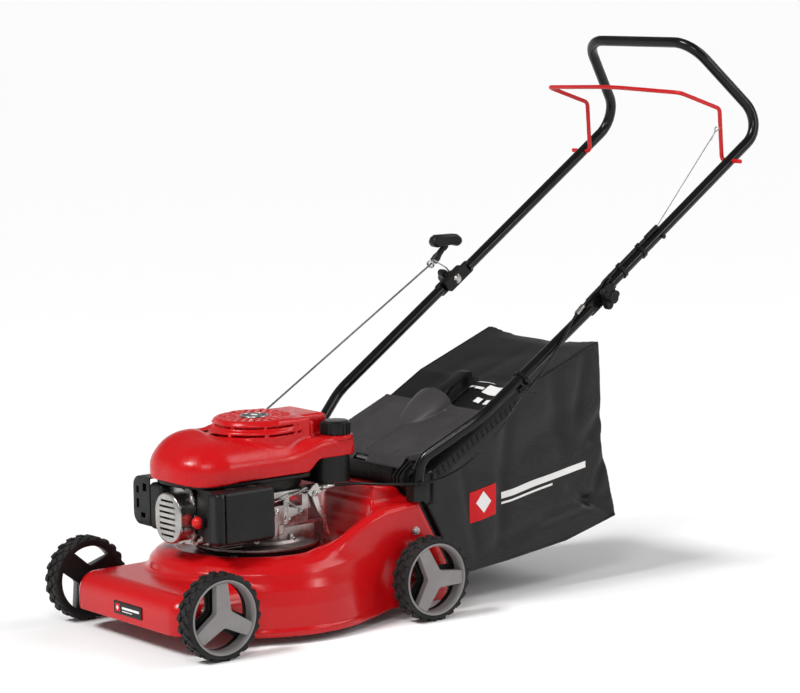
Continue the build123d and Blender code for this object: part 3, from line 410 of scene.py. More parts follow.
class Field:
    """A box of space sampled on a grid, where shapes are blended and then turned into a mesh."""

    def __init__(self, low, high, step):
        self.low, self.step = low, step
        axes = [np.arange(a, b + step, step, dtype=np.float32) for a, b in zip(low, high)]
        self.x, self.y, self.z = axes[0][:, None, None], axes[1][None, :, None], axes[2][None, None, :]

    def box(self, x, y, z, rounding=0.0):
        """Signed distance to a box given by its limits, with rounded edges."""
        parts = []
        for values, (a, b) in ((self.x, x), (self.y, y), (self.z, z)):
            parts.append(np.abs(values - (a + b) / 2) - (b - a) / 2 + rounding)
        outside = sum(np.maximum(p, 0) ** 2 for p in parts) ** 0.5
        inside = np.minimum(np.maximum(np.maximum(parts[0], parts[1]), parts[2]), 0)
        return outside + inside - rounding

    def side(self, outline, half, rounding=0.0, centre=0.0):
        """Distance to a (y, z) outline made solid over |x - centre| < half."""
        across = polygon_distance(self.y[0], self.z[0], outline)[None] + rounding
        depth = np.abs(self.x - centre) - half + rounding
        return round_max(across, depth) - rounding

    def plan(self, outline, low, high, rounding=0.0):
        """Distance to an (x, y) outline made solid between two heights."""
        across = polygon_distance(self.x[..., 0], self.y[..., 0], outline)[..., None] + rounding
        depth = np.abs(self.z - (low + high) / 2) - (high - low) / 2 + rounding
        return round_max(across, depth) - rounding

    def turned(self, profile, x=0.0, y=0.0):
        """Distance to a solid of revolution about an upright axis, from (radius, z) points."""
        radius = np.hypot(self.x - x, self.y - y)[..., 0]
        reach = np.arange(0, radius.max() + 1, 0.5, dtype=np.float32)
        table = polygon_distance(reach[:, None], self.z[0], profile)
        place = radius / 0.5
        low = np.minimum(place.astype(int), len(reach) - 2)
        part = (place - low)[..., None]
        return table[low] * (1 - part) + table[low + 1] * part

    def bar(self, start, end, radius):
        """Distance to a round-ended bar."""
        a, b = np.array(start, np.float32), np.array(end, np.float32)
        d = b - a
        along = ((self.x - a[0]) * d[0] + (self.y - a[1]) * d[1] + (self.z - a[2]) * d[2]) / float(d @ d)
        along = np.clip(along, 0, 1)
        gaps = [v - (s + along * c) for v, s, c in zip((self.x, self.y, self.z), a, d)]
        return np.sqrt(sum(g * g for g in gaps)) - radius

    def mesh(self, name, distance, material, smooth_angle=50.0):
        """The surface where the distance is zero, as an object."""
        grid = openvdb.FloatGrid(3.0 * self.step)
        full = np.broadcast_to(distance, (self.x.size, self.y.size, self.z.size))
        reach = 3.0 * self.step
        grid.copyFromArray(np.ascontiguousarray(np.clip(full, -reach, reach), dtype=np.float32))
        points, quads = grid.convertToQuads(0.0)
        points = points * self.step + np.array(self.low)
        points = points * MM + np.array((0, CRANK_Y, 0))
        mesh = bpy.data.meshes.new(name)
        mesh.vertices.add(len(points))
        mesh.vertices.foreach_set("co", points.astype(np.float32).ravel())
        mesh.loops.add(quads.size)
        mesh.loops.foreach_set("vertex_index", quads.astype(np.int32).ravel())
        mesh.polygons.add(len(quads))
        mesh.polygons.foreach_set("loop_start", np.arange(0, quads.size, 4, dtype=np.int32))
        mesh.update(calc_edges=True)
        mesh.validate()
        piece = finish_object(name, mesh, material, smooth_angle)
        outward(piece)
        smooth = piece.modifiers.new("smooth", "SMOOTH")
        smooth.factor, smooth.iterations = 0.5, RELAX_ROUNDS
        return apply_modifiers(piece)


def polygon_distance(u, v, outline):
    """Signed distance, below zero inside, to a closed outline, for broadcast arrays u and v."""
    u, v = np.broadcast_arrays(u, v)
    best = np.full(u.shape, 1e9, np.float32)
    inside = np.zeros(u.shape, bool)
    for (x0, y0), (x1, y1) in zip(outline, outline[1:] + outline[:1]):
        dx, dy = x1 - x0, y1 - y0
        along = np.clip(((u - x0) * dx + (v - y0) * dy) / (dx * dx + dy * dy), 0, 1)
        best = np.minimum(best, (u - x0 - along * dx) ** 2 + (v - y0 - along * dy) ** 2)
        crosses = (y0 > v) != (y1 > v)
        with np.errstate(divide="ignore", invalid="ignore"):
            inside ^= crosses & (u < (x1 - x0) * (v - y0) / (y1 - y0 if y1 != y0 else 1e-9) + x0)
    return np.where(inside, -np.sqrt(best), np.sqrt(best)).astype(np.float32)


def round_max(a, b):
    """Intersection of two distances that meet in a true corner."""
    return np.minimum(np.maximum(a, b), 0) + np.hypot(np.maximum(a, 0), np.maximum(b, 0))


def blend_min(a, b, reach):
    """Union with a fillet."""
    h = np.clip(0.5 + 0.5 * (b - a) / reach, 0, 1)
    return b * (1 - h) + a * h - reach * h * (1 - h)


def blend_max(a, b, reach):
    """Intersection, or cut with -b, with a rounded edge."""
    return -blend_min(-a, -b, reach)


FINE = 2.0          # sampling step of the large mouldings


def smooth_step(value, start, end):
    t = np.clip((value - start) / (end - start), 0, 1)
    return t * t * (3 - 2 * t)


# ------------------------------------------------------------------ deck
def deck():
    """Pressed red deck: round blade housing, nose, two cheeks and the hollow behind the engine."""
    field = Field((-224, -288, 4), (224, 308, 246), FINE)
    x, y, z = field.x, field.y, field.z
    dome = field.turned([
        (0, -80), (213, -80), (214, 14), (213.5, 24), (210.5, 28), (206, 66), (200, 92), (194, 105), (189, 120),
        (178, 131), (162, 139), (152, 142.5), (146, 142.5), (139, 137), (134, 132), (0, 132),
    ])
    nose = field.box((-168, 168), (-281, 90), (-120, 103), 34)
    ridge = [(-10, -120), (-10, 112), (22, 138), (38, 147), (66, 161), (94, 176), (124, 190), (155, 200),
             (200, 205.5), (236, 207.5), (272, 141.5), (300, 89), (300, -120)]
    cheeks = field.side(ridge, 170, 13)
    back_wall = [(-60, 124)] + [(100 + 63 * sin(radians(a)), 234 - 110 * cos(radians(a))) for a in range(0, 91, 10)]
    scoop = field.side(back_wall + [(164, 330), (-60, 330)], 149, 30)
    cheeks = blend_max(cheeks, -scoop, 7)
    housing = field.side([(60, 60), (60, 238), (160, 240), (222, 228), (236, 207.5), (272, 141.5), (272, 60)], 128, 10)
    housing = blend_max(housing, -scoop, 5)
    rear = blend_min(cheeks, housing, 16)
    outside = blend_min(blend_min(dome, nose, 9), rear, np.where(np.abs(x) > 140, 26.0, 10.0).astype(np.float32))
    for side in (162, -162):
        outside = np.maximum(outside, -field.bar((side, 171, 212), (side, 185, 212), 4.5))
    shell = blend_max(outside, -(outside + 2.2 * FINE), 1.5)
    radius = np.hypot(x, y)
    front_rise = 23 * smooth_step(radius, 215, 238) * (y < 0)
    rear_rise = 7 * smooth_step(radius, 214, 240) * (y > 0)
    shell = blend_max(shell, 14 + front_rise + rear_rise - z, 1.2)
    mouth = field.side([(226, 82), (226, 192), (330, 192), (330, 82)], 128, 6)
    shell = np.maximum(shell, -mouth)
    piece = field.mesh("deck", shell, "red_deck")
    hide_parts("deck_shell")
    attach(piece, "chassis")


# ------------------------------------------------------------------ shroud
def shroud():
    """Moulded red engine hood: domed front, stepped starter housing with slits, blocks behind it."""
    field = Field((-112, -208, 262), (112, 164, 372), FINE * 0.8)
    x, y, z = field.x, field.y, field.z
    front, rear = rounded_plan(102, -198, 155, 86, 20)
    plan = polygon_distance(x[..., 0], y[..., 0], front + rear)[..., None]
    depth = np.maximum(-plan, 0)
    crown = 50 + 13 * smooth_step(-x, -34, 52)
    hood_top = 294 + crown * (1 - np.exp(-depth / 27))
    rear_top = 329 - 16 * np.exp(-depth / 5)
    late = smooth_step(y, 0, 95)
    top = hood_top * (1 - late) + rear_top * late
    lean = plan - 3.0 * smooth_step(z, 285, 330)
    body = blend_max(lean + 3.0, (z - top) * 0.85, 10)
    tier_low = field.turned([(0, 250), (84, 250), (83, 346), (80, 349), (0, 349)])
    tier_high = field.turned([(0, 250), (76, 250), (75.5, 358), (71, 364), (66, 366), (0, 366)])
    block = field.box((-72, 75), (-6, 71), (280, 365), 8)
    block_rear = field.box((-66, 44), (66, 128), (280, 363.5), 9)
    saddle = field.box((-60, 66), (60, 84), (280, 356), 6)
    starter = blend_min(blend_min(tier_high, tier_low, 3), blend_min(blend_min(block, block_rear, 3), saddle, 4), 6)
    outside = blend_min(body, starter, 7)
    flute = field.bar((-34, -84, 362), (58, -104, 362), 16)
    outside = blend_max(outside, -flute, 12)
    outside = blend_max(outside, -field.turned([(0, 363.4), (27, 363.4), (27.8, 380), (0, 380)]), 1)
    turn = np.arctan2(y, x)
    radius = np.hypot(x, y)
    for level, reach in ((354, 84), (341, 92)):
        gap = np.abs(np.mod(np.degrees(turn) + 20, 46) - 23) - 21
        slit = np.maximum(np.maximum(np.abs(z - level) - 1.5, gap * 1.3), np.abs(radius - 80) - 12)
        slit = np.maximum(slit, np.where((turn < radians(35)) & (turn > radians(-215)), -1.0, 1.0) * 5)
        outside = np.maximum(outside, -np.maximum(slit, radius - reach))
    for ring, width, count in ((39, 7.5, 18), (56, 7, 26)):
        spoke = np.abs(np.mod(turn / (2 * pi) * count, 1) - 0.5) * (2 * pi * ring / count) - 2.2
        outside = np.maximum(outside, -np.maximum(np.maximum(spoke, np.abs(radius - ring) - width), 358 - z))
    inside = np.minimum(plan + 6, 20) + 0 * z
    hollow = blend_max(inside, z - top + 7, 8)
    shell = blend_max(outside, -hollow, 2)
    bottom = 272 + 20.5 * smooth_step(y, 42, 74)
    bottom = bottom - 5.5 * smooth_step(np.abs(x + 20), 40, 110) * smooth_step(-y, 90, 170)
    shell = blend_max(shell, bottom - z, 1.5)
    cap_seat = field.turned([(0, 320), (31, 320), (31, 327), (29.5, 328.4), (0, 328.4)], 72, 124)
    cap_bore = field.turned([(0, 300), (19, 300), (19, 360), (0, 360)], 72, 124)
    shell = np.minimum(shell, np.maximum(cap_seat, -cap_bore))
    piece = field.mesh("engine_hood", shell, "red_plastic")
    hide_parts("shroud")
    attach(piece, "chassis")


def rounded_plan(half, front, rear, front_radius, rear_radius):
    """Plan outline in two halves, from the front left corner round to the rear."""
    def arc(cx, cy, radius, start):
        turns = [radians(start + a) for a in range(0, 91, 6)]
        return [(cx + radius * cos(t), cy + radius * sin(t)) for t in turns]
    ahead = arc(-half + front_radius, front + front_radius, front_radius, 180)
    ahead += arc(half - front_radius, front + front_radius, front_radius, 270)
    behind = arc(half - rear_radius, rear - rear_radius, rear_radius, 0)
    behind += arc(-half + rear_radius, rear - rear_radius, rear_radius, 90)
    return ahead, behind


# ------------------------------------------------------------------ wheels
WHEEL_R = 75.0
TYRE_HALF = 17.0
LUG_DEPTH = 3.2


def lug(work, centre_turn, across, length, width, height, twist):
    """One tread block on the tyre's crown: a bevelled pad that follows the tyre's curve."""
    rows = []
    for level, shrink in ((WHEEL_R - 5.2, 1.1), (WHEEL_R - height * 0.25, 1.0), (WHEEL_R, 0.82)):
        ring = []
        for u, v in ((-1, -1), (0, -1.12), (1, -1), (1.08, 0), (1, 1), (0, 1.12), (-1, 1), (-1.08, 0)):
            along = (u * length * cos(twist) - v * width * sin(twist)) * shrink / 2
            side = (u * length * sin(twist) + v * width * cos(twist)) * shrink / 2
            turn = centre_turn + along / WHEEL_R
            ring.append(work.verts.new((across + side, level * cos(turn), level * sin(turn))))
        rows.append(ring)
    for low, high in zip(rows, rows[1:]):
        for k in range(8):
            work.faces.new((low[k], low[(k + 1) % 8], high[(k + 1) % 8], high[k]))
    work.faces.new(rows[-1])


def tyre_mesh():
    """A tyre about the X axis, centred on it: carcass with lugs in three staggered rows."""
    half = TYRE_HALF
    work = bmesh.new()
    profile = [(64.2, -half + 1), (64.2, half - 1.5), (66, half - 0.3), (69.5, half), (71.2, half - 1.4), (71.6, half - 4),
               (71.6, -half + 4), (71.2, -half + 1.4), (69.5, -half), (66, -half + 0.3)]
    steps = 96
    rings = []
    for k in range(steps):
        turn = 2 * pi * k / steps
        rings.append([work.verts.new((x, r * cos(turn), r * sin(turn))) for r, x in profile])
    for k in range(steps):
        a, b = rings[k], rings[(k + 1) % steps]
        for i in range(len(profile)):
            j = (i + 1) % len(profile)
            work.faces.new((a[i], a[j], b[j], b[i]))
    count = 22
    for k in range(count):
        turn = 2 * pi * k / count
        lug(work, turn, 0.5, 11.5, 9.5, LUG_DEPTH, radians(32))
        lug(work, turn + pi / count, -11.2, 12.5, 8.0, LUG_DEPTH, radians(-24))
        lug(work, turn + pi / count, 11.4, 12.5, 7.6, LUG_DEPTH, radians(18))
        lug(work, turn + 0.35 * pi / count, 6.4, 5.0, 4.0, 2.6, radians(-40))
    bmesh.ops.recalc_face_normals(work, faces=work.faces)
    return work


def star_outline(tip, notch, spread, steps=4):
    """A three-arm star: arms that end on a circle and widen to notches between them."""
    points = []
    for k in range(3):
        middle = pi / 2 + 2 * pi * k / 3
        for s in range(steps + 1):
            turn = middle - spread + 2 * spread * s / steps
            points.append((tip * cos(turn), tip * sin(turn)))
        between = middle + pi / 3
        for offset in (-0.13, 0.0, 0.13):
            points.append((notch * cos(between + offset), notch * sin(between + offset)))
    return points


def wheel(end, side, turn):
    """Tyre, black wheel body and silver-grey cover of one wheel; side is 1 for the operator's left."""
    suffix = f"{end}_{'left' if side > 0 else 'right'}"
    body = "wheel_" + suffix
    low, high = node_box("tyre_" + suffix)
    centre = [(a + b) / 2 for a, b in zip(low, high)]
    outer = max(abs(low[0]), abs(high[0]))
    inner = outer - 2 * TYRE_HALF + 1

    def place(piece):
        """From a wheel about the X axis on the operator's left to its own place."""
        move = Matrix.Translation(to_frame((0, centre[1], centre[2]))) @ Matrix.Scale(side, 4, (1, 0, 0))
        move = move @ Matrix.Rotation(turn, 4, "X") @ Matrix.Translation(-to_frame((0, 0, 0)))
        piece.data.transform(move)
        outward(piece)
        return piece

    work = tyre_mesh()
    for vert in work.verts:
        vert.co = to_frame((vert.co.x + outer - TYRE_HALF, vert.co.y, vert.co.z))
    mesh = bpy.data.meshes.new("tread_" + suffix)
    work.to_mesh(mesh)
    work.free()
    tread = place(finish_object("tread_" + suffix, mesh, "tyre", 28))
    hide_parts("tyre_" + suffix)

    wall = [(58.5, inner), (64.2, inner), (64.2, 213), (60.5, 213), (59.5, inner + 3)]
    barrel = lathe("barrel", wall, "wheel_black")
    hub = lathe("hub", [(6.1, 188.9), (13, 188.9), (15, 190), (15, 210), (6.1, 210.9)], "wheel_black", steps=40)
    arms = prism("arms", star_outline(60.5, 20, 0.24), inner + 4, 202, "wheel_black", "X", 1.0)
    rear_arms = prism("rear_arms", star_outline(60.5, 24, 0.34), inner + 1.5, inner + 6, "wheel_black", "X", 0.8)
    wheel_body = place(joined("wheel_body_" + suffix, [barrel, hub, arms, rear_arms]))

    ring = lathe("ring", [(60.2, 212.5), (64.1, 212.5), (64.1, 226), (63.3, 227), (61.4, 227), (60.4, 226), (58.2, 218)],
                 "wheel_grey", steps=96)
    star = prism("star", star_outline(59.8, 19, 0.2), 211.5, 224.4, "wheel_grey", "X", 1.1)
    shade = lathe("liner", [(57.6, 205), (60.1, 205), (60.1, 221), (58.8, 221)], "wheel_grey", steps=96)
    cover = place(joined("wheel_cover_" + suffix, [ring, star, shade]))
    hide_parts("rim_" + suffix)
    for piece, slot in ((tread, "tyre"), (wheel_body, "wheel_black"), (cover, "wheel_grey")):
        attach(piece, body)


# ------------------------------------------------------------------ rear flap
FLAP_BACK, FLAP_RISE = (406, 347), 0.43     # the back edge's y and z, and the rise per millimetre towards it
FLAP_KNUCKLES = (-100, -40, 40, 100)


def flap_height(y):
    return FLAP_BACK[1] + FLAP_RISE * (y - FLAP_BACK[0])


def flap():
    """Dark grey lid with a rolled front edge, stiffened border and a hooded finger grip."""
    field = Field((-148, 222, 258), (148, 412, 380), 1.6)
    x, y, z = field.x, field.y, field.z
    half = 119 + 22 * smooth_step(y, 250, 268)
    plane = flap_height(y)
    roll = -10 * smooth_step(-y, -246, -228)
    surface = plane + roll
    edge = np.maximum(np.maximum(np.abs(x) - half, y - 406), 229 - y)
    panel = smooth_step(-np.maximum(np.abs(x) - 116, np.abs(y - 330) - 62), 0, 5) * 2.2
    sheet = np.maximum(z - surface + panel, surface - panel - 4.6 - z)
    skirt = np.maximum(np.maximum(np.abs(np.abs(x) - half + 2.2) - 2.2, z - surface), surface - 13 - z)
    skirt = np.maximum(skirt, 250 - y)
    back_lip = np.maximum(np.maximum(np.abs(y - 404) - 2.0, z - surface), surface - 10 - z)
    lid = np.maximum(blend_min(blend_min(sheet * 0.92, skirt, 3), back_lip, 3), edge)
    reach = np.clip((406 - y) / 68, 0, 1.4)
    width = 52 * np.sqrt(np.clip(1 - reach ** 1.7, 0.0001, 1))
    hood_top = surface + 27.5 * np.clip(1 - reach ** 1.5, 0, 1) * np.sqrt(np.clip(1 - (x / width) ** 2, 0, 1))
    hood = np.maximum(np.maximum((z - hood_top) * 0.8, surface - 4 - z), np.maximum(y - 405.5, np.abs(x) - width))
    pocket = np.maximum((z - hood_top + 5.0) * 0.8, y - 420)
    pocket = np.maximum(np.maximum(pocket, np.abs(x) - width + 4), surface - 9 - z)
    lid = blend_max(blend_min(lid, hood, 6), -pocket, 1.5)
    spring_notch = field.box((-19, 19), (210, 238.5), (225, 300), 2)
    lid = np.maximum(lid, -spring_notch)
    for side in (-1, 1):
        groove = field.bar((side * 80, 250, flap_height(250) + 1.4), (side * 80, 262, flap_height(262) + 1.4), 3)
        lid = np.maximum(lid, -groove)
    piece = field.mesh("flap_lid", lid, "grey_plastic")
    tube = [(3.1, -12), (6.4, -12), (6.4, 12), (3.1, 12)]
    arm = [(237, 264), (246, 264), (248, flap_height(246) - 3), (236, flap_height(236) - 8)]
    knuckles = [lathe("knuckle", tube, "grey_plastic", (c, 241, 262), "X", 28) for c in FLAP_KNUCKLES]
    arms = [prism("arm", arm, c - 11, c + 11, "grey_plastic") for c in FLAP_KNUCKLES]
    piece = joined("flap_lid", [piece] + knuckles + arms)
    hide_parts("rear_flap")
    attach(piece, "discharge_flap")


# ------------------------------------------------------------------ carried-over CAD nodes
def finish_cad_nodes():
    """Every CAD node that still shows gets its material, welded corners, small bevels and smooth shading."""
    slots = {part["node"]: part["material_slot"] for part in frame["record"]["subparts"]}
    crisp = {"muffler_guard": 0.5, "exhaust_shield": 0.5, "crankcase": 0.8, "cylinder_head": 0.8, "carburettor": 0.8,
             "control_bracket": 0.35, "filter_backplate": 0.8, "fuel_cap": 0.6,
             "rear_frame": 0.5, "handle_brackets": 0.8, "blade": 0.4, "brake_lever": 0.4, "governor_lever": 0.4,
             "bag_frame": 0.8}
    for name, node in frame["nodes"].items():
        node.data.materials.clear()
        node.data.materials.append(materials[slots[name]])
        for polygon in node.data.polygons:
            polygon.use_smooth = True
            polygon.material_index = 0
        if node.data.has_custom_normals:
            with bpy.context.temp_override(object=node, active_object=node, selected_editable_objects=[node]):
                bpy.ops.mesh.customdata_custom_splitnormals_clear()
        weld = node.modifiers.new("weld", "WELD")
        weld.merge_threshold = 0.00001
        width = crisp.get(name, 0.0)
        if width:
            bevel = node.modifiers.new("bevel", "BEVEL")
            bevel.width, bevel.segments, bevel.limit_method = width * MM, BEVEL_STEPS, "ANGLE"
            bevel.angle_limit = radians(40)
        add_smooth_by_angle(node)


def add_smooth_by_angle(node):
    """Sharp edges by angle, worked out after the weld."""
    group = bpy.data.node_groups.get("sharp_by_angle")
    if not group:
        group = bpy.data.node_groups.new("sharp_by_angle", "GeometryNodeTree")
        group.interface.new_socket("Geometry", in_out="INPUT", socket_type="NodeSocketGeometry")
        group.interface.new_socket("Geometry", in_out="OUTPUT", socket_type="NodeSocketGeometry")
        start, end = group.nodes.new("NodeGroupInput"), group.nodes.new("NodeGroupOutput")
        angle = group.nodes.new("GeometryNodeInputMeshEdgeAngle")
        limit = group.nodes.new("FunctionNodeCompare")
        limit.operation = "LESS_EQUAL"
        limit.inputs["B"].default_value = radians(32)
        smooth = group.nodes.new("GeometryNodeSetShadeSmooth")
        smooth.domain = "EDGE"
        group.links.new(start.outputs[0], smooth.inputs["Geometry"])
        group.links.new(angle.outputs["Unsigned Angle"], limit.inputs["A"])
        group.links.new(limit.outputs["Result"], smooth.inputs["Shade Smooth"])
        group.links.new(smooth.outputs["Geometry"], end.inputs[0])
    modifier = node.modifiers.new("smooth_by_angle", "NODES")
    modifier.node_group = group


# ------------------------------------------------------------------ grass bag
BAG_HALF = 157.5
FOLD_STRENGTH = 2.4
BAG_OUTLINE = [(241, 234), (252, 240), (499, 383), (675, 452), (684, 300), (687, 240), (717, 116), (590, 84),
               (452, 67), (354, 57), (328, 63)]
SIDE_FOLDS = [(300, 262, 520, 215, 16, 2.2), (455, 345, 430, 95, 14, 2.4), (560, 400, 585, 250, 18, 2.6),
              (640, 430, 618, 300, 12, 2.0), (500, 300, 700, 262, 20, 2.6), (540, 130, 690, 160, 11, 3.0),
              (600, 180, 705, 122, 9, 3.2), (400, 90, 560, 140, 15, 2.4), (345, 250, 380, 80, 12, 1.8),
              (640, 255, 690, 330, 12, 2.2), (470, 250, 640, 345, 22, 1.8), (655, 150, 690, 240, 8, 2.2)]
TOP_FOLDS = [(-120, 300, -60, 620, 22, 2.4), (110, 330, 70, 640, 24, 2.2), (-150, 470, 150, 520, 14, 2.0),
             (-100, 560, 130, 640, 20, 2.6), (0, 520, 20, 670, 16, 2.0)]


def folds(u, v, lines):
    """Soft creases: each line is u0, v0, u1, v1, width and depth."""
    total = 0.0
    for u0, v0, u1, v1, width, depth in lines:
        du, dv = u1 - u0, v1 - v0
        along = np.clip(((u - u0) * du + (v - v0) * dv) / (du * du + dv * dv), 0, 1)
        away = np.hypot(u - u0 - along * du, v - v0 - along * dv)
        total = total + FOLD_STRENGTH * depth * np.sin(pi * (0.15 + 0.7 * along)) * np.exp(-(away / width) ** 2)
    return total


def bag_side_sag(y, z):
    """How far a side panel of the bag lies inside its plane."""
    middle = np.exp(-((y - 520) / 130) ** 2 - ((z - 230) / 95) ** 2)
    ripple = 0.5 * np.sin(y / 19.0 + z / 33.0) + 0.4 * np.sin(y / 41.0 - z / 17.0)
    return 1.0 + 5.0 * middle + folds(y, z, SIDE_FOLDS) + ripple


def bag_top_sag(x, y):
    across = np.clip(1 - (x / BAG_HALF) ** 2, 0, 1)
    far = smooth_step(y, 490, 520) * (1 - smooth_step(y, 640, 676))
    return 5.5 * across * far + folds(x, y, TOP_FOLDS) * across + 0.4 * np.sin(x / 23.0 + y / 31.0) * across


def bag_top_z(x, y):
    """Height of the bag's top panel."""
    flat = np.where(y < 499, 240 + 0.579 * (y - 252), 383 + 0.392 * (y - 499))
    return flat - bag_top_sag(x, y) / 0.93


def bag():
    """Sewn grass bag, sagging between its seams, open towards the deck."""
    field = Field((-162, 232, 48), (162, 724, 460), 2.8)
    x, y, z = field.x, field.y, field.z
    across = polygon_distance(y[0], z[0], BAG_OUTLINE)[None]
    upper = smooth_step(z - (230 + 0.5 * (y - 252)), 0, 60)
    back = smooth_step(y, 640, 676) * (1 - upper)
    bulge = np.clip(1 - (x / BAG_HALF) ** 2, 0, 1)
    across = across + bag_top_sag(x, y) * upper + bulge * (9 * back + 3.5 * (1 - upper) * (1 - back))
    across = across + 0.8 * np.sin(x / 21.0 + z / 37.0) * back * bulge
    depth = np.abs(x) - BAG_HALF + bag_side_sag(y, z)
    cloth = blend_max(across, depth, 5)
    for side in (-1, 1):
        cloth = blend_max(cloth, -field.box(sorted((side * 149, side * 210)), (190, 276), (195, 330), 3), 3)
    cloth = blend_max(cloth, -(cloth + 2.3 * field.step), 1)
    mouth = field.side([(243, 196), (236, 240), (200, 240), (200, 40), (340, 40), (323, 74)], 133, 4)
    cloth = np.maximum(cloth, -mouth)
    piece = field.mesh("bag_skin", cloth, "bag_cloth", smooth_angle=65)
    piping = [(155.2, 277, 252.6), (155.2, 499, 380.8), (154.6, 669.5, 447.6)]
    hem = [(154.8, 712, 118.5), (155, 590, 87), (155, 452, 70), (155, 354, 60.5)]
    trims = [tube_along("trim", [(side * x, y, z) for x, y, z in route], radius, "bag_cloth", smooth=False)
             for route, radius in ((piping, 2.4), (hem, 2.2)) for side in (-1, 1)]
    whole = joined("bag_skin", [piece] + trims)
    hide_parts("bag_fabric")
    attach(whole, "grass_bag")
    edge_strips()
    prints()


def edge_strips():
    """Ribbed plastic edge that stiffens the bag below each handle tube."""
    for side, name in ((1, "left"), (-1, "right")):
        pieces = []
        run = [(278, 255.5), (470, 366.5)]
        length = hypot(run[1][0] - run[0][0], run[1][1] - run[0][1])
        lean = ((run[1][0] - run[0][0]) / length, (run[1][1] - run[0][1]) / length)
        up = (-lean[1], lean[0])

        def spot(along, lift):
            return (run[0][0] + lean[0] * along + up[0] * lift, run[0][1] + lean[1] * along + up[1] * lift)
        x0, x1 = sorted((side * 151.0, side * 157.9))
        strip = [spot(0, -22), spot(length, -19), spot(length + 6, -1), spot(4, 0)]
        pieces.append(prism("strip", strip, x0, x1, "black_plastic", "X", 1.6))
        count = 17
        for k in range(count):
            along = 8 + k * (length - 14) / (count - 1)
            rib = [spot(along - 2.2, -17), spot(along + 2.2, -17), spot(along + 2.2, -4), spot(along - 2.2, -4)]
            inner, outer = sorted((side * 157.0, side * 159.6))
            pieces.append(prism("rib", rib, inner, outer, "black_plastic", "X", 0.7))
        whole = joined("bag_edge_" + name, pieces)
        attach(whole, "grass_bag")


def decal(corners, height, lift, material):
    """A thin printed patch over a four-cornered area, laid on the surface that height gives."""
    rows = []
    count = 18
    for i in range(count + 1):
        u = i / count
        row = []
        for j in range(count + 1):
            v = j / count
            point = [(1 - u) * (1 - v) * a + u * (1 - v) * b + u * v * c + (1 - u) * v * d
                     for a, b, c, d in zip(*corners)]
            row.append(height(point[0], point[1], lift))
        rows.append(row)
    points = [p for row in rows for p in row]
    n = count + 1
    faces = [[i * n + j, i * n + j + 1, (i + 1) * n + j + 1, (i + 1) * n + j]
             for i in range(count) for j in range(count)]
    return mesh_object("decal", points, faces, material, 80)


def prints():
    """Generic printed marks: a red square with a white diamond, two plain lines, and picture signs on top."""
    for side, name in ((1, "left"), (-1, "right")):
        def wall(u, v, lift, side=side):
            return (side * (BAG_HALF - float(bag_side_sag(u, v)) + 0.9 + lift), u, v)

        def slanted(y0, z0, y1, z1, rise=0.175):
            base = 147 + rise * (y0 - 366)
            end = 147 + rise * (y1 - 366)
            return [(y0, base + z0), (y1, end + z0), (y1, end + z1), (y0, base + z1)]
        pieces = [decal(slanted(362, 0, 424, 57), wall, 0.0, "print_red")]
        pieces.append(decal([(393, 163), (411, 183), (393, 203), (375, 183)], wall, 0.5, "print_white"))
        pieces.append(decal(slanted(440, 22, 640, 34), wall, 0.0, "print_white"))
        pieces.append(decal(slanted(440, 12, 560, 16), wall, 0.0, "print_white"))
        whole = joined("bag_print_" + name, pieces)
        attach(whole, "grass_bag")

    def top(u, v, lift):
        return (u, v, float(bag_top_z(u, v)) + 1.2 + lift)

    def patch(x0, y0, x1, y1, lean=0.0):
        return decal([(x0, y0), (x1, y0), (x1 + lean, y1), (x0 + lean, y1)], top, 0.0, "print_white")
    areas = [(-38, 520, -26, 566), (-38, 556, 22, 566), (10, 520, 22, 566), (40, 518, 102, 552), (52, 556, 90, 566),
             (48, 504, 58, 512), (82, 504, 92, 512), (-34, 497, 96, 500), (-42, 470, -30, 490), (62, 468, 104, 490),
             (34, 474, 58, 480), (66, 444, 82, 456), (92, 444, 106, 456), (-70, 440, -34, 444), (-60, 450, -46, 454)]
    signs = [patch(*area) for area in areas]
    signs.append(patch(-24, 474, 20, 480, 16))
    whole = joined("bag_signs", signs)
    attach(whole, "grass_bag")


# ------------------------------------------------------------------ tubes and wires
def curve_points(points, smooth, steps):
    """Points along a NURBS line through the route, or the route itself when it isn't smooth."""
    curve = bpy.data.curves.new("route", "CURVE")
    curve.dimensions = "3D"
    spline = curve.splines.new("NURBS" if smooth else "POLY")
    spline.points.add(len(points) - 1)
    for slot, point in zip(spline.points, points):
        slot.co = (*to_frame(point), 1)
    if smooth:
        spline.use_endpoint_u = True
        spline.order_u = 3
    curve.resolution_u = steps
    return curve


def tube_along(name, points, radius, material, smooth=True, steps=10, sides=4):
    """A round tube along a route, as a mesh."""
    curve = curve_points(points, smooth, steps)
    curve.bevel_depth = radius * MM
    curve.bevel_resolution = sides
    curve.use_fill_caps = True
    holder = bpy.data.objects.new("route", curve)
    mesh = bpy.data.meshes.new_from_object(holder)
    bpy.data.objects.remove(holder)
    mesh.name = name
    mesh.materials.clear()
    return finish_object(name, mesh, material, 60)


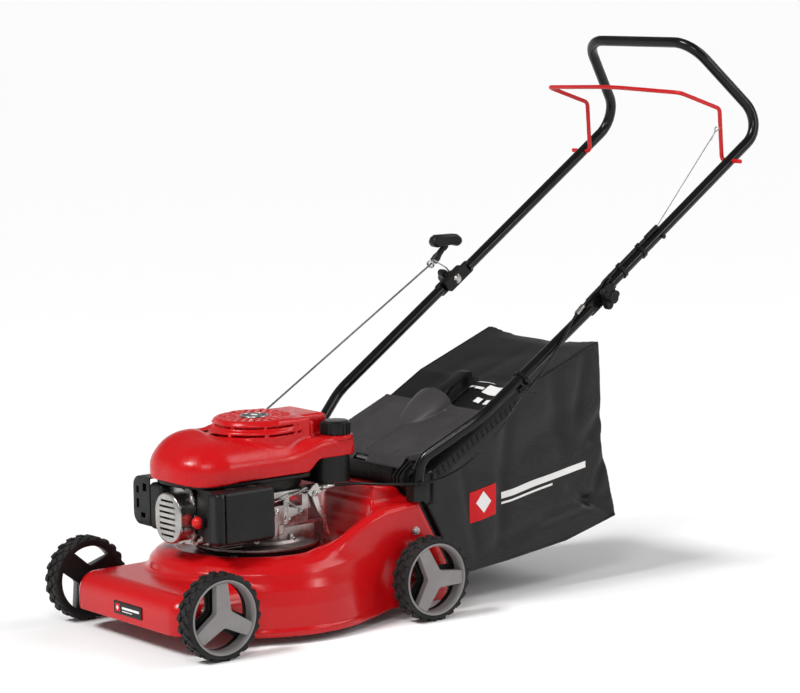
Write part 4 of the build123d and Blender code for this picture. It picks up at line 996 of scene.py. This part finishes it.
# The brake cable from beside the fold bolt, round the lower tube, past its bracket and on to the engine.
LOWER_CABLE = [
    (214.2, 625.5, 558.0), (215.0, 590.5, 535.5), (220.0, 556.0, 510.0), (228.0, 529.0, 481.0),
    (230.0, 499.0, 451.0), (229.5, 469.0, 418.0), (228.0, 437.0, 391.0), (226.0, 404.0, 354.0),
    (217.0, 365.0, 309.0), (204.0, 319.0, 267.0), (192.0, 268.0, 245.0), (183.0, 228.0, 240.5),
    (165.0, 192.0, 241.5), (136.0, 164.0, 241.0), (108.0, 147.0, 241.5), (91.0, 128.0, 240.5),
    (91.0, 103.2, 240.0),
]
LEG_START = Vector((206.0, 629.0, 542.3))
LEG = (Vector((208.0, 1052.6, 835.3)) - LEG_START).normalized()


def leg_point(along, lift=0.0):
    """A point beside the upper leg: a distance up it from the fold bolt, and square to it."""
    return tuple(LEG_START + LEG * along + Vector((0, -LEG.z, LEG.y)) * lift)


def cables():
    """The brake cable's jacket in one piece across the fold, and its bare wire up to the bail."""
    upper = [leg_point(along, 14.5) for along in (151.8, 120, 90, 60, 38, 22)]
    jacket = tube_along("brake_cable", upper + LOWER_CABLE, 2.5, "cable_black", steps=12)
    barrel = LOWER_CABLE[1], LOWER_CABLE[2]
    sleeve = [tuple(a + (b - a) * t for a, b in zip(*barrel)) for t in (0.24, 0.78)]
    adjuster = tube_along("adjuster", sleeve, 4.2, "zinc", smooth=False, sides=6)
    rings = []
    for k in range(6):
        ends = [tuple(a + (b - a) * (0.30 + 0.075 * k + d) for a, b in zip(*barrel)) for d in (0, 0.035)]
        rings.append(tube_along("ring", ends, 4.9, "zinc", smooth=False, sides=6))
    jacket = joined("brake_cable", [jacket, adjuster] + rings)
    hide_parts("cable_upper", "cable_lower")
    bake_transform(jacket)

    start = leg_point(186.5, 14.5)
    end = (187.0, 940.5, 823.5)
    mid = [tuple(a + (b - a) * t for a, b in zip(start, end)) for t in (0.25, 0.5, 0.75)]
    wire = tube_along("brake_wire", [start, *mid, end], 0.9, "steel", steps=16)
    hook = tube_along("hook", [(187, 940.5, 823.5), (187, 943, 828), (182.4, 946, 833), (181.8, 951, 834.5),
                               (187, 954.5, 836), (191.6, 950, 832), (190.2, 944, 828), (187, 939, 824.5)], 1.0, "steel")
    coil = [(187 + 1.5 * cos(k * 1.3), 938.4 - 0.45 * k, 819.8 - 0.62 * k + 1.5 * sin(k * 1.3)) for k in range(18)]
    wire = joined("brake_wire", [wire, hook, tube_along("wrap", coil, 0.6, "steel", steps=3, sides=2)])
    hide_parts("inner_wire")
    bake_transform(wire)


def cable_tie():
    """A strap round the lower tube and the cable, with its cut tail."""
    spot = Vector((211.6, 436, 411.6))
    lean = Vector((0, 1, 0.679)).normalized()
    square = Vector((0, -lean.z, lean.y))
    ring = []
    for k in range(36):
        turn = 2 * pi * k / 36
        push = 11.6 + 8.5 * max(0.0, cos(turn - radians(-28))) ** 6
        ring.append(spot + Vector((1, 0, 0)) * push * cos(turn) + square * push * sin(turn))
    points, faces = [], []
    for side in (-3.2, 3.2):
        for grow in (0.0, 1.2):
            points += [tuple(p + lean * side + (p - spot).normalized() * grow) for p in ring]
    n = 36
    for k in range(n):
        j = (k + 1) % n
        faces += [[k, j, n + j, n + k], [2 * n + k, 3 * n + k, 3 * n + j, 2 * n + j], [k, 2 * n + k, 2 * n + j, j],
                  [n + k, n + j, 3 * n + j, 3 * n + k]]
    band = mesh_object("band", points, faces, "black_plastic")
    outward(band)
    head = prism("head", [(426, 385), (437, 391), (434, 399), (423, 393)], 216.5, 223.5, "black_plastic", "X", 0.8)
    tail = tube_along("tail", [(219, 431, 396), (221, 440, 388), (224, 452, 384), (226, 461, 384)], 1.3, "black_plastic")
    whole = joined("cable_tie", [band, head, tail])
    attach(whole, "chassis")


# ------------------------------------------------------------------ engine
def filter_lid():
    """Air filter lid with rounded sides, a raised rib down its front edge and two latches."""
    field = Field((100, -180, 166), (136, -42, 270), 1.0)
    lid = field.box((92, 131), (-172, -49), (171, 264), 9)
    rib = field.box((100, 132.6), (-166, -157), (177, 258), 4)
    lid = blend_min(lid, rib, 3)
    groove = field.box((127, 140), (-156, -153.4), (174, 261), 1)
    lid = blend_max(lid, -groove, 2)
    lip = field.box((100, 108), (-174, -47.4), (169.6, 265.4), 5)
    lid = blend_min(lid, lip, 1.5)
    lid = np.maximum(lid, 104.3 - field.x)
    inside = field.box((90, 127), (-168, -53), (175, 260), 7)
    lid = blend_max(lid, -inside, 1)
    shell = field.mesh("filter_lid_shell", lid, "black_plastic", smooth_angle=60)
    latches = [prism(f"latch{k}", [(y - 7, 263), (y + 7, 263), (y + 6, 267.2), (y - 6, 267.2)], 105.5, 118,
                     "black_plastic", "X", 1.0) for k, y in enumerate((-132, -88))]
    whole = joined("filter_lid_shell", [shell] + latches)
    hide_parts("filter_cover")
    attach(whole, "filter_lid")


def spring(name, start, end, radius, turns, wire, material):
    """A coil spring between two points, with straight ends."""
    a, b = Vector(start), Vector(end)
    axis = (b - a).normalized()
    side = axis.orthogonal().normalized()
    other = axis.cross(side)
    points = [tuple(a)]
    for k in range(turns * 8 + 1):
        turn = 2 * pi * k / 8
        at = a + (b - a) * (0.2 + 0.6 * k / (turns * 8))
        points.append(tuple(at + side * radius * cos(turn) + other * radius * sin(turn)))
    points.append(tuple(b))
    return tube_along(name, points, wire, material, steps=3, sides=2)


def screw(name, centre, radius, height, axis="X", material="zinc"):
    """A domed cross-head screw head with its washer."""
    profile = [(0, 0), (radius * 1.35, 0), (radius * 1.35, 0.9), (radius, 1.0), (radius, height * 0.6),
               (radius * 0.75, height * 0.9), (radius * 0.35, height), (radius * 0.3, height * 0.6), (0, height * 0.6)]
    return lathe(name, profile, material, centre, axis, steps=28)


def engine_details():
    """Small parts that the castings carry: linkage rods, springs, screws, the wavy flange behind the muffler."""
    pieces = [
        tube_along("rod_a", [(88.5, -30, 226), (90, -8, 228), (90, 14, 236), (90, 40, 238), (90, 55, 238)], 1.1, "zinc"),
        tube_along("cable_end", [(91, 105, 240), (91, 88, 240), (92, 70, 240.5), (92, 60, 244)], 1.0, "zinc"),
        screw("screw_a", (83.6, 37, 203), 5.2, 4.2), screw("screw_b", (83.6, 70, 226), 4.2, 3.6),
        screw("screw_c", (84, 10, 190), 3.4, 3.0), screw("screw_d", (96.5, 60, 232), 4.0, 3.4),
        screw("screw_e", (99.2, -27, 210), 5.6, 4.8), screw("screw_f", (99.2, -38, 194), 3.2, 3.0),
        lathe("barrel_nut", [(1.8, 84), (4.6, 84), (5.2, 85), (5.2, 90), (4.2, 91), (4.2, 100), (3.2, 101), (1.8, 101)],
              "zinc", (91, 0, 240), "Y", 24),
        prism("link_plate", [(44, 236), (58, 248), (66, 248), (70, 240), (62, 232), (50, 228)], 94.2, 95.4, "zinc", "X", 0.3),
        prism("float_bowl", [(-42, 168), (-12, 168), (-9, 176), (-9, 188), (-45, 188), (-45, 176)], 78, 98,
              "bare_aluminium", "X", 2.4),
        prism("throttle_stop", [(-10, 196), (4, 200), (4, 214), (-10, 216)], 86.0, 89.0, "zinc", "X", 0.6),
    ]
    whole = joined("engine_linkage", pieces)
    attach(whole, "chassis")

    springs = joined("governor_springs", [
        tube_along("link_rod", [(94, -22, 214), (96, -2, 219), (96, 6, 222)], 1.0, "zinc"),
        spring("return_spring", (91, 8, 232), (91, 46, 244), 3.0, 9, 0.7, "zinc"),
        spring("governor_spring", (89.5, 2, 224), (88, 30, 208), 2.4, 7, 0.6, "zinc"),
    ])
    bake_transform(springs)

    wave = []
    for k in range(96):
        turn = 2 * pi * k / 96
        reach = 50 + 3.0 * cos(8 * turn) + 7.0 * abs(sin(2 * turn)) ** 3
        wave.append((4 + reach * 0.93 * cos(turn), 211 + reach * sin(turn)))
    flange = prism("flange", wave, -166.4, -163.2, "zinc", "Y", 0.5)
    rivets = [screw(f"rivet{k}", (x, -166.6, z), 3.0, -2.6, "Y") for k, (x, z) in
              enumerate(((-36, 253), (44, 253), (-36, 169), (44, 169)))]
    whole = joined("muffler_flange", [flange] + rivets)
    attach(whole, "chassis")

    fins = []
    for k in range(3):
        front, low, high = -112 - 6 * (k % 2), 150 + 4.6 * k, 151.6 + 4.6 * k
        fins.append(prism(f"fin{k}", [(front, low), (-40, low), (-40, high), (front, high)], -60, 60,
                          "bare_aluminium", "X", 0.3))
    spots = [(86 * cos(radians(a)), 86 * sin(radians(a)), 0) for a in (-80, -35, 10, 100, 190)]
    bosses = [lathe(f"boss{k}", [(0, 147), (7, 147), (7, 158), (5.5, 160), (0, 160)], "bare_aluminium",
                    spot, "Z", 28) for k, spot in enumerate(spots)]
    bolts = [lathe(f"sump_bolt{k}", [(0, 160), (4.6, 160), (4.6, 164.4), (3.4, 165.4), (0, 165.4)], "zinc",
                   spot, "Z", 6, 20) for k, spot in enumerate(spots)]
    sump = lathe("sump", [(70, 140), (96, 140), (111.5, 141.5), (113, 143), (113, 146.5), (111, 148), (97, 149.5), (94, 152),
                          (92, 156), (79, 158), (77, 160), (70, 160)], "bare_aluminium", (0, 0, 0), "Z", 128)
    # Painted shade: a black ring under the sump's lip, a dark band standing for the shadowed gap between the casting
    # and the deck.
    shade_ring = lathe("shade_ring", [(60, 127.2), (99, 127.2), (101, 130), (101, 136), (109, 137.5), (110, 141), (60, 141)],
                   "black_steel", (0, 0, 0), "Z", 128)
    ears = []
    for k in range(3):
        turn = radians(-55 + 120 * k)
        x, y = 116 * cos(turn), 116 * sin(turn)
        ears.append(lathe(f"ear{k}", [(4.4, 127.3), (10, 127.3), (10.5, 128), (10.5, 131.5), (9.5, 132.8), (4.4, 132.8)],
                          "bare_aluminium", (x, y, 0), "Z", 36))
        across = (-sin(turn) * 8, cos(turn) * 8)
        near = (94 * cos(turn), 94 * sin(turn))
        arm = [(near[0] + across[0] * k, near[1] + across[1] * k) for k in (-1.5, 1.5)]
        arm += [(x + across[0] * k, y + across[1] * k) for k in (1, -1)]
        ears.append(prism("arm", arm, 127.4, 132.4, "bare_aluminium", "Z", 0.8))
    whole = joined("sump_casting", bosses + bolts + [sump, shade_ring] + fins + ears)
    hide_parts("engine_base")
    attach(whole, "chassis")


def fan_case():
    """Black pressed plate under the hood, and the finned valve cover between the shield and the muffler."""
    front, rear = rounded_plan(91, -183, 62, 78, 16)
    plate = prism("plate", front + rear, 262, 270, "black_steel", "Z", 2.0)
    ring = lathe("ring", [(70, 240), (78, 240), (82, 246), (84, 263), (70, 263)], "black_steel", (0, -2, 0), "Z", 96)
    field = Field((-72, -190, 172), (-18, -108, 266), 1.1)
    cover = field.box((-66, -24), (-183, -112), (178, 261), 9)
    for height in (196, 212, 228, 244):
        cover = blend_max(cover, -field.box((-80, -61), (-176, -118), (height - 2.2, height + 2.2), 2), 1.5)
    cover = field.mesh("valve_cover", cover, "black_steel")
    whole = joined("fan_case", [plate, ring, cover])
    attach(whole, "chassis")


def starter_badge():
    """Domed cap in the middle of the starter housing with a bright rim and a plain badge."""
    dome = lathe("dome", [(0, 363.4), (23.4, 363.4), (24.4, 364.4), (24.4, 366.2), (23.2, 367.2), (0, 367.9)],
                 "black_plastic", (0, 0, 0), "Z", 72)
    rim = lathe("rim", [(22.2, 366.6), (24.9, 366.0), (25.4, 366.6), (24.9, 367.6), (22.4, 367.9), (21.9, 367.3)],
                "zinc", (0, 0, 0), "Z", 72)
    mark = prism("mark", [(-11, 0), (0, -6), (11, 0), (0, 6)], 367.3, 368.2, "print_white", "Z", 0.2)
    whole = joined("starter_badge", [dome, rim, mark])
    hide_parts("starter_cap")
    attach(whole, "chassis")


def deck_badge():
    """Black plate on the nose with a red square and two plain lines."""
    def tile(name, x0, x1, z0, z1, y, material, bevel=0.25):
        return prism(name, [(x0, z0), (x1, z0), (x1, z1), (x0, z1)], y, -280.2, material, "Y", bevel)
    plate = tile("plate", -30, 57, 50, 72, -283.0, "black_plastic", 1.0)
    pieces = [plate, tile("square", -24, -10, 54, 68, -283.5, "print_red"),
              tile("line", -3, 50, 60, 64, -283.5, "print_white"),
              tile("thin_line", -3, 28, 55.5, 57, -283.5, "print_white")]
    diamond = [(-17, 57), (-13, 61), (-17, 65), (-21, 61)]
    pieces.append(prism("diamond", diamond, -283.9, -283, "print_white", "Y", 0.1))
    whole = joined("deck_badge", pieces)
    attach(whole, "chassis")


# ------------------------------------------------------------------ pull handle and fold joints
ROPE_START = Vector((-70.0, 79.0, 362.0))
ROPE_END = Vector((-235.0, 590.0, 571.0))
ROPE = (ROPE_END - ROPE_START).normalized()


def pull_handle():
    """Faceted T grip on its collared stem."""
    side = [(591, 613), (596, 622), (604, 626.4), (652, 626.0), (661, 619), (665, 612.5), (660, 603.5), (652, 601.6),
            (640, 605), (630, 604), (616, 604), (604, 602), (596, 604)]
    bar = prism("bar", side, -246.6, -225.4, "black_plastic", "X", 4.6)
    base, top = ROPE_END + ROPE * 10, Vector((-236.0, 628.0, 606.0))
    line = [tuple(base + (top - base) * t) for t in (0.0, 1.0)]
    stem = tube_along("stem", line, 6.0, "black_plastic", smooth=False, sides=8)
    collars = []
    for a, b, radius in ((0.02, 0.30, 8.2), (0.30, 0.42, 6.9), (0.78, 0.98, 7.4)):
        ends = [tuple(base + (top - base) * t) for t in (a, b)]
        collars.append(bevelled(tube_along("collar", ends, radius, "black_plastic", smooth=False, sides=8), 0.8))
    whole = joined("pull_grip", [bar, stem] + collars)
    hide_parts("starter_grip")
    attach(whole, "pull_grip")


def knob_shape(name, side):
    """Three-winged clamping knob with hollowed wings and a round hub."""
    field = Field((222, 598, 511), (251, 660, 573), 0.8)
    x, y, z = field.x, field.y - 629, field.z - 542.3
    turn = np.arctan2(z, y)
    radius = np.hypot(y, z)
    lobes = 15.6 + 6.6 * np.cos(3 * turn - radians(60))
    body = (radius - lobes) * 0.8
    cap = np.abs(x - 235) - 7.5
    body = blend_max(body, cap, 4)
    hub = round_max(radius - 10.5, np.abs(x - 237.4) - 12.4)
    body = blend_min(body, hub, 2)
    for k in range(3):
        angle = radians(20 + 120 * k)
        dish = np.sqrt((y - 15.5 * cos(angle)) ** 2 + (z - 15.5 * sin(angle)) ** 2 + (x - 244.5) ** 2) - 4.2
        body = blend_max(body, -dish, 1.5)
    bore = np.maximum(radius - 4.1, x - 240)
    body = np.maximum(body, -bore)
    piece = field.mesh("clamp_" + name, body, "black_plastic", smooth_angle=50)
    if side < 0:
        piece.data.transform(Matrix.Scale(-1, 4, (1, 0, 0)))
        outward(piece)
    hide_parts("knob_" + name)
    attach(piece, "clamp_" + name)


materials = make_materials()
add_camera()
add_studio()
deck()
shroud()
for end, side, turn in (("front", 1, 0.05), ("front", -1, 0.9), ("rear", 1, 0.47), ("rear", -1, 1.6)):
    wheel(end, side, turn)
flap()
bag()
cables()
cable_tie()
filter_lid()
engine_details()
fan_case()
starter_badge()
deck_badge()
pull_handle()
knob_shape("left", 1)
knob_shape("right", -1)
finish_cad_nodes()
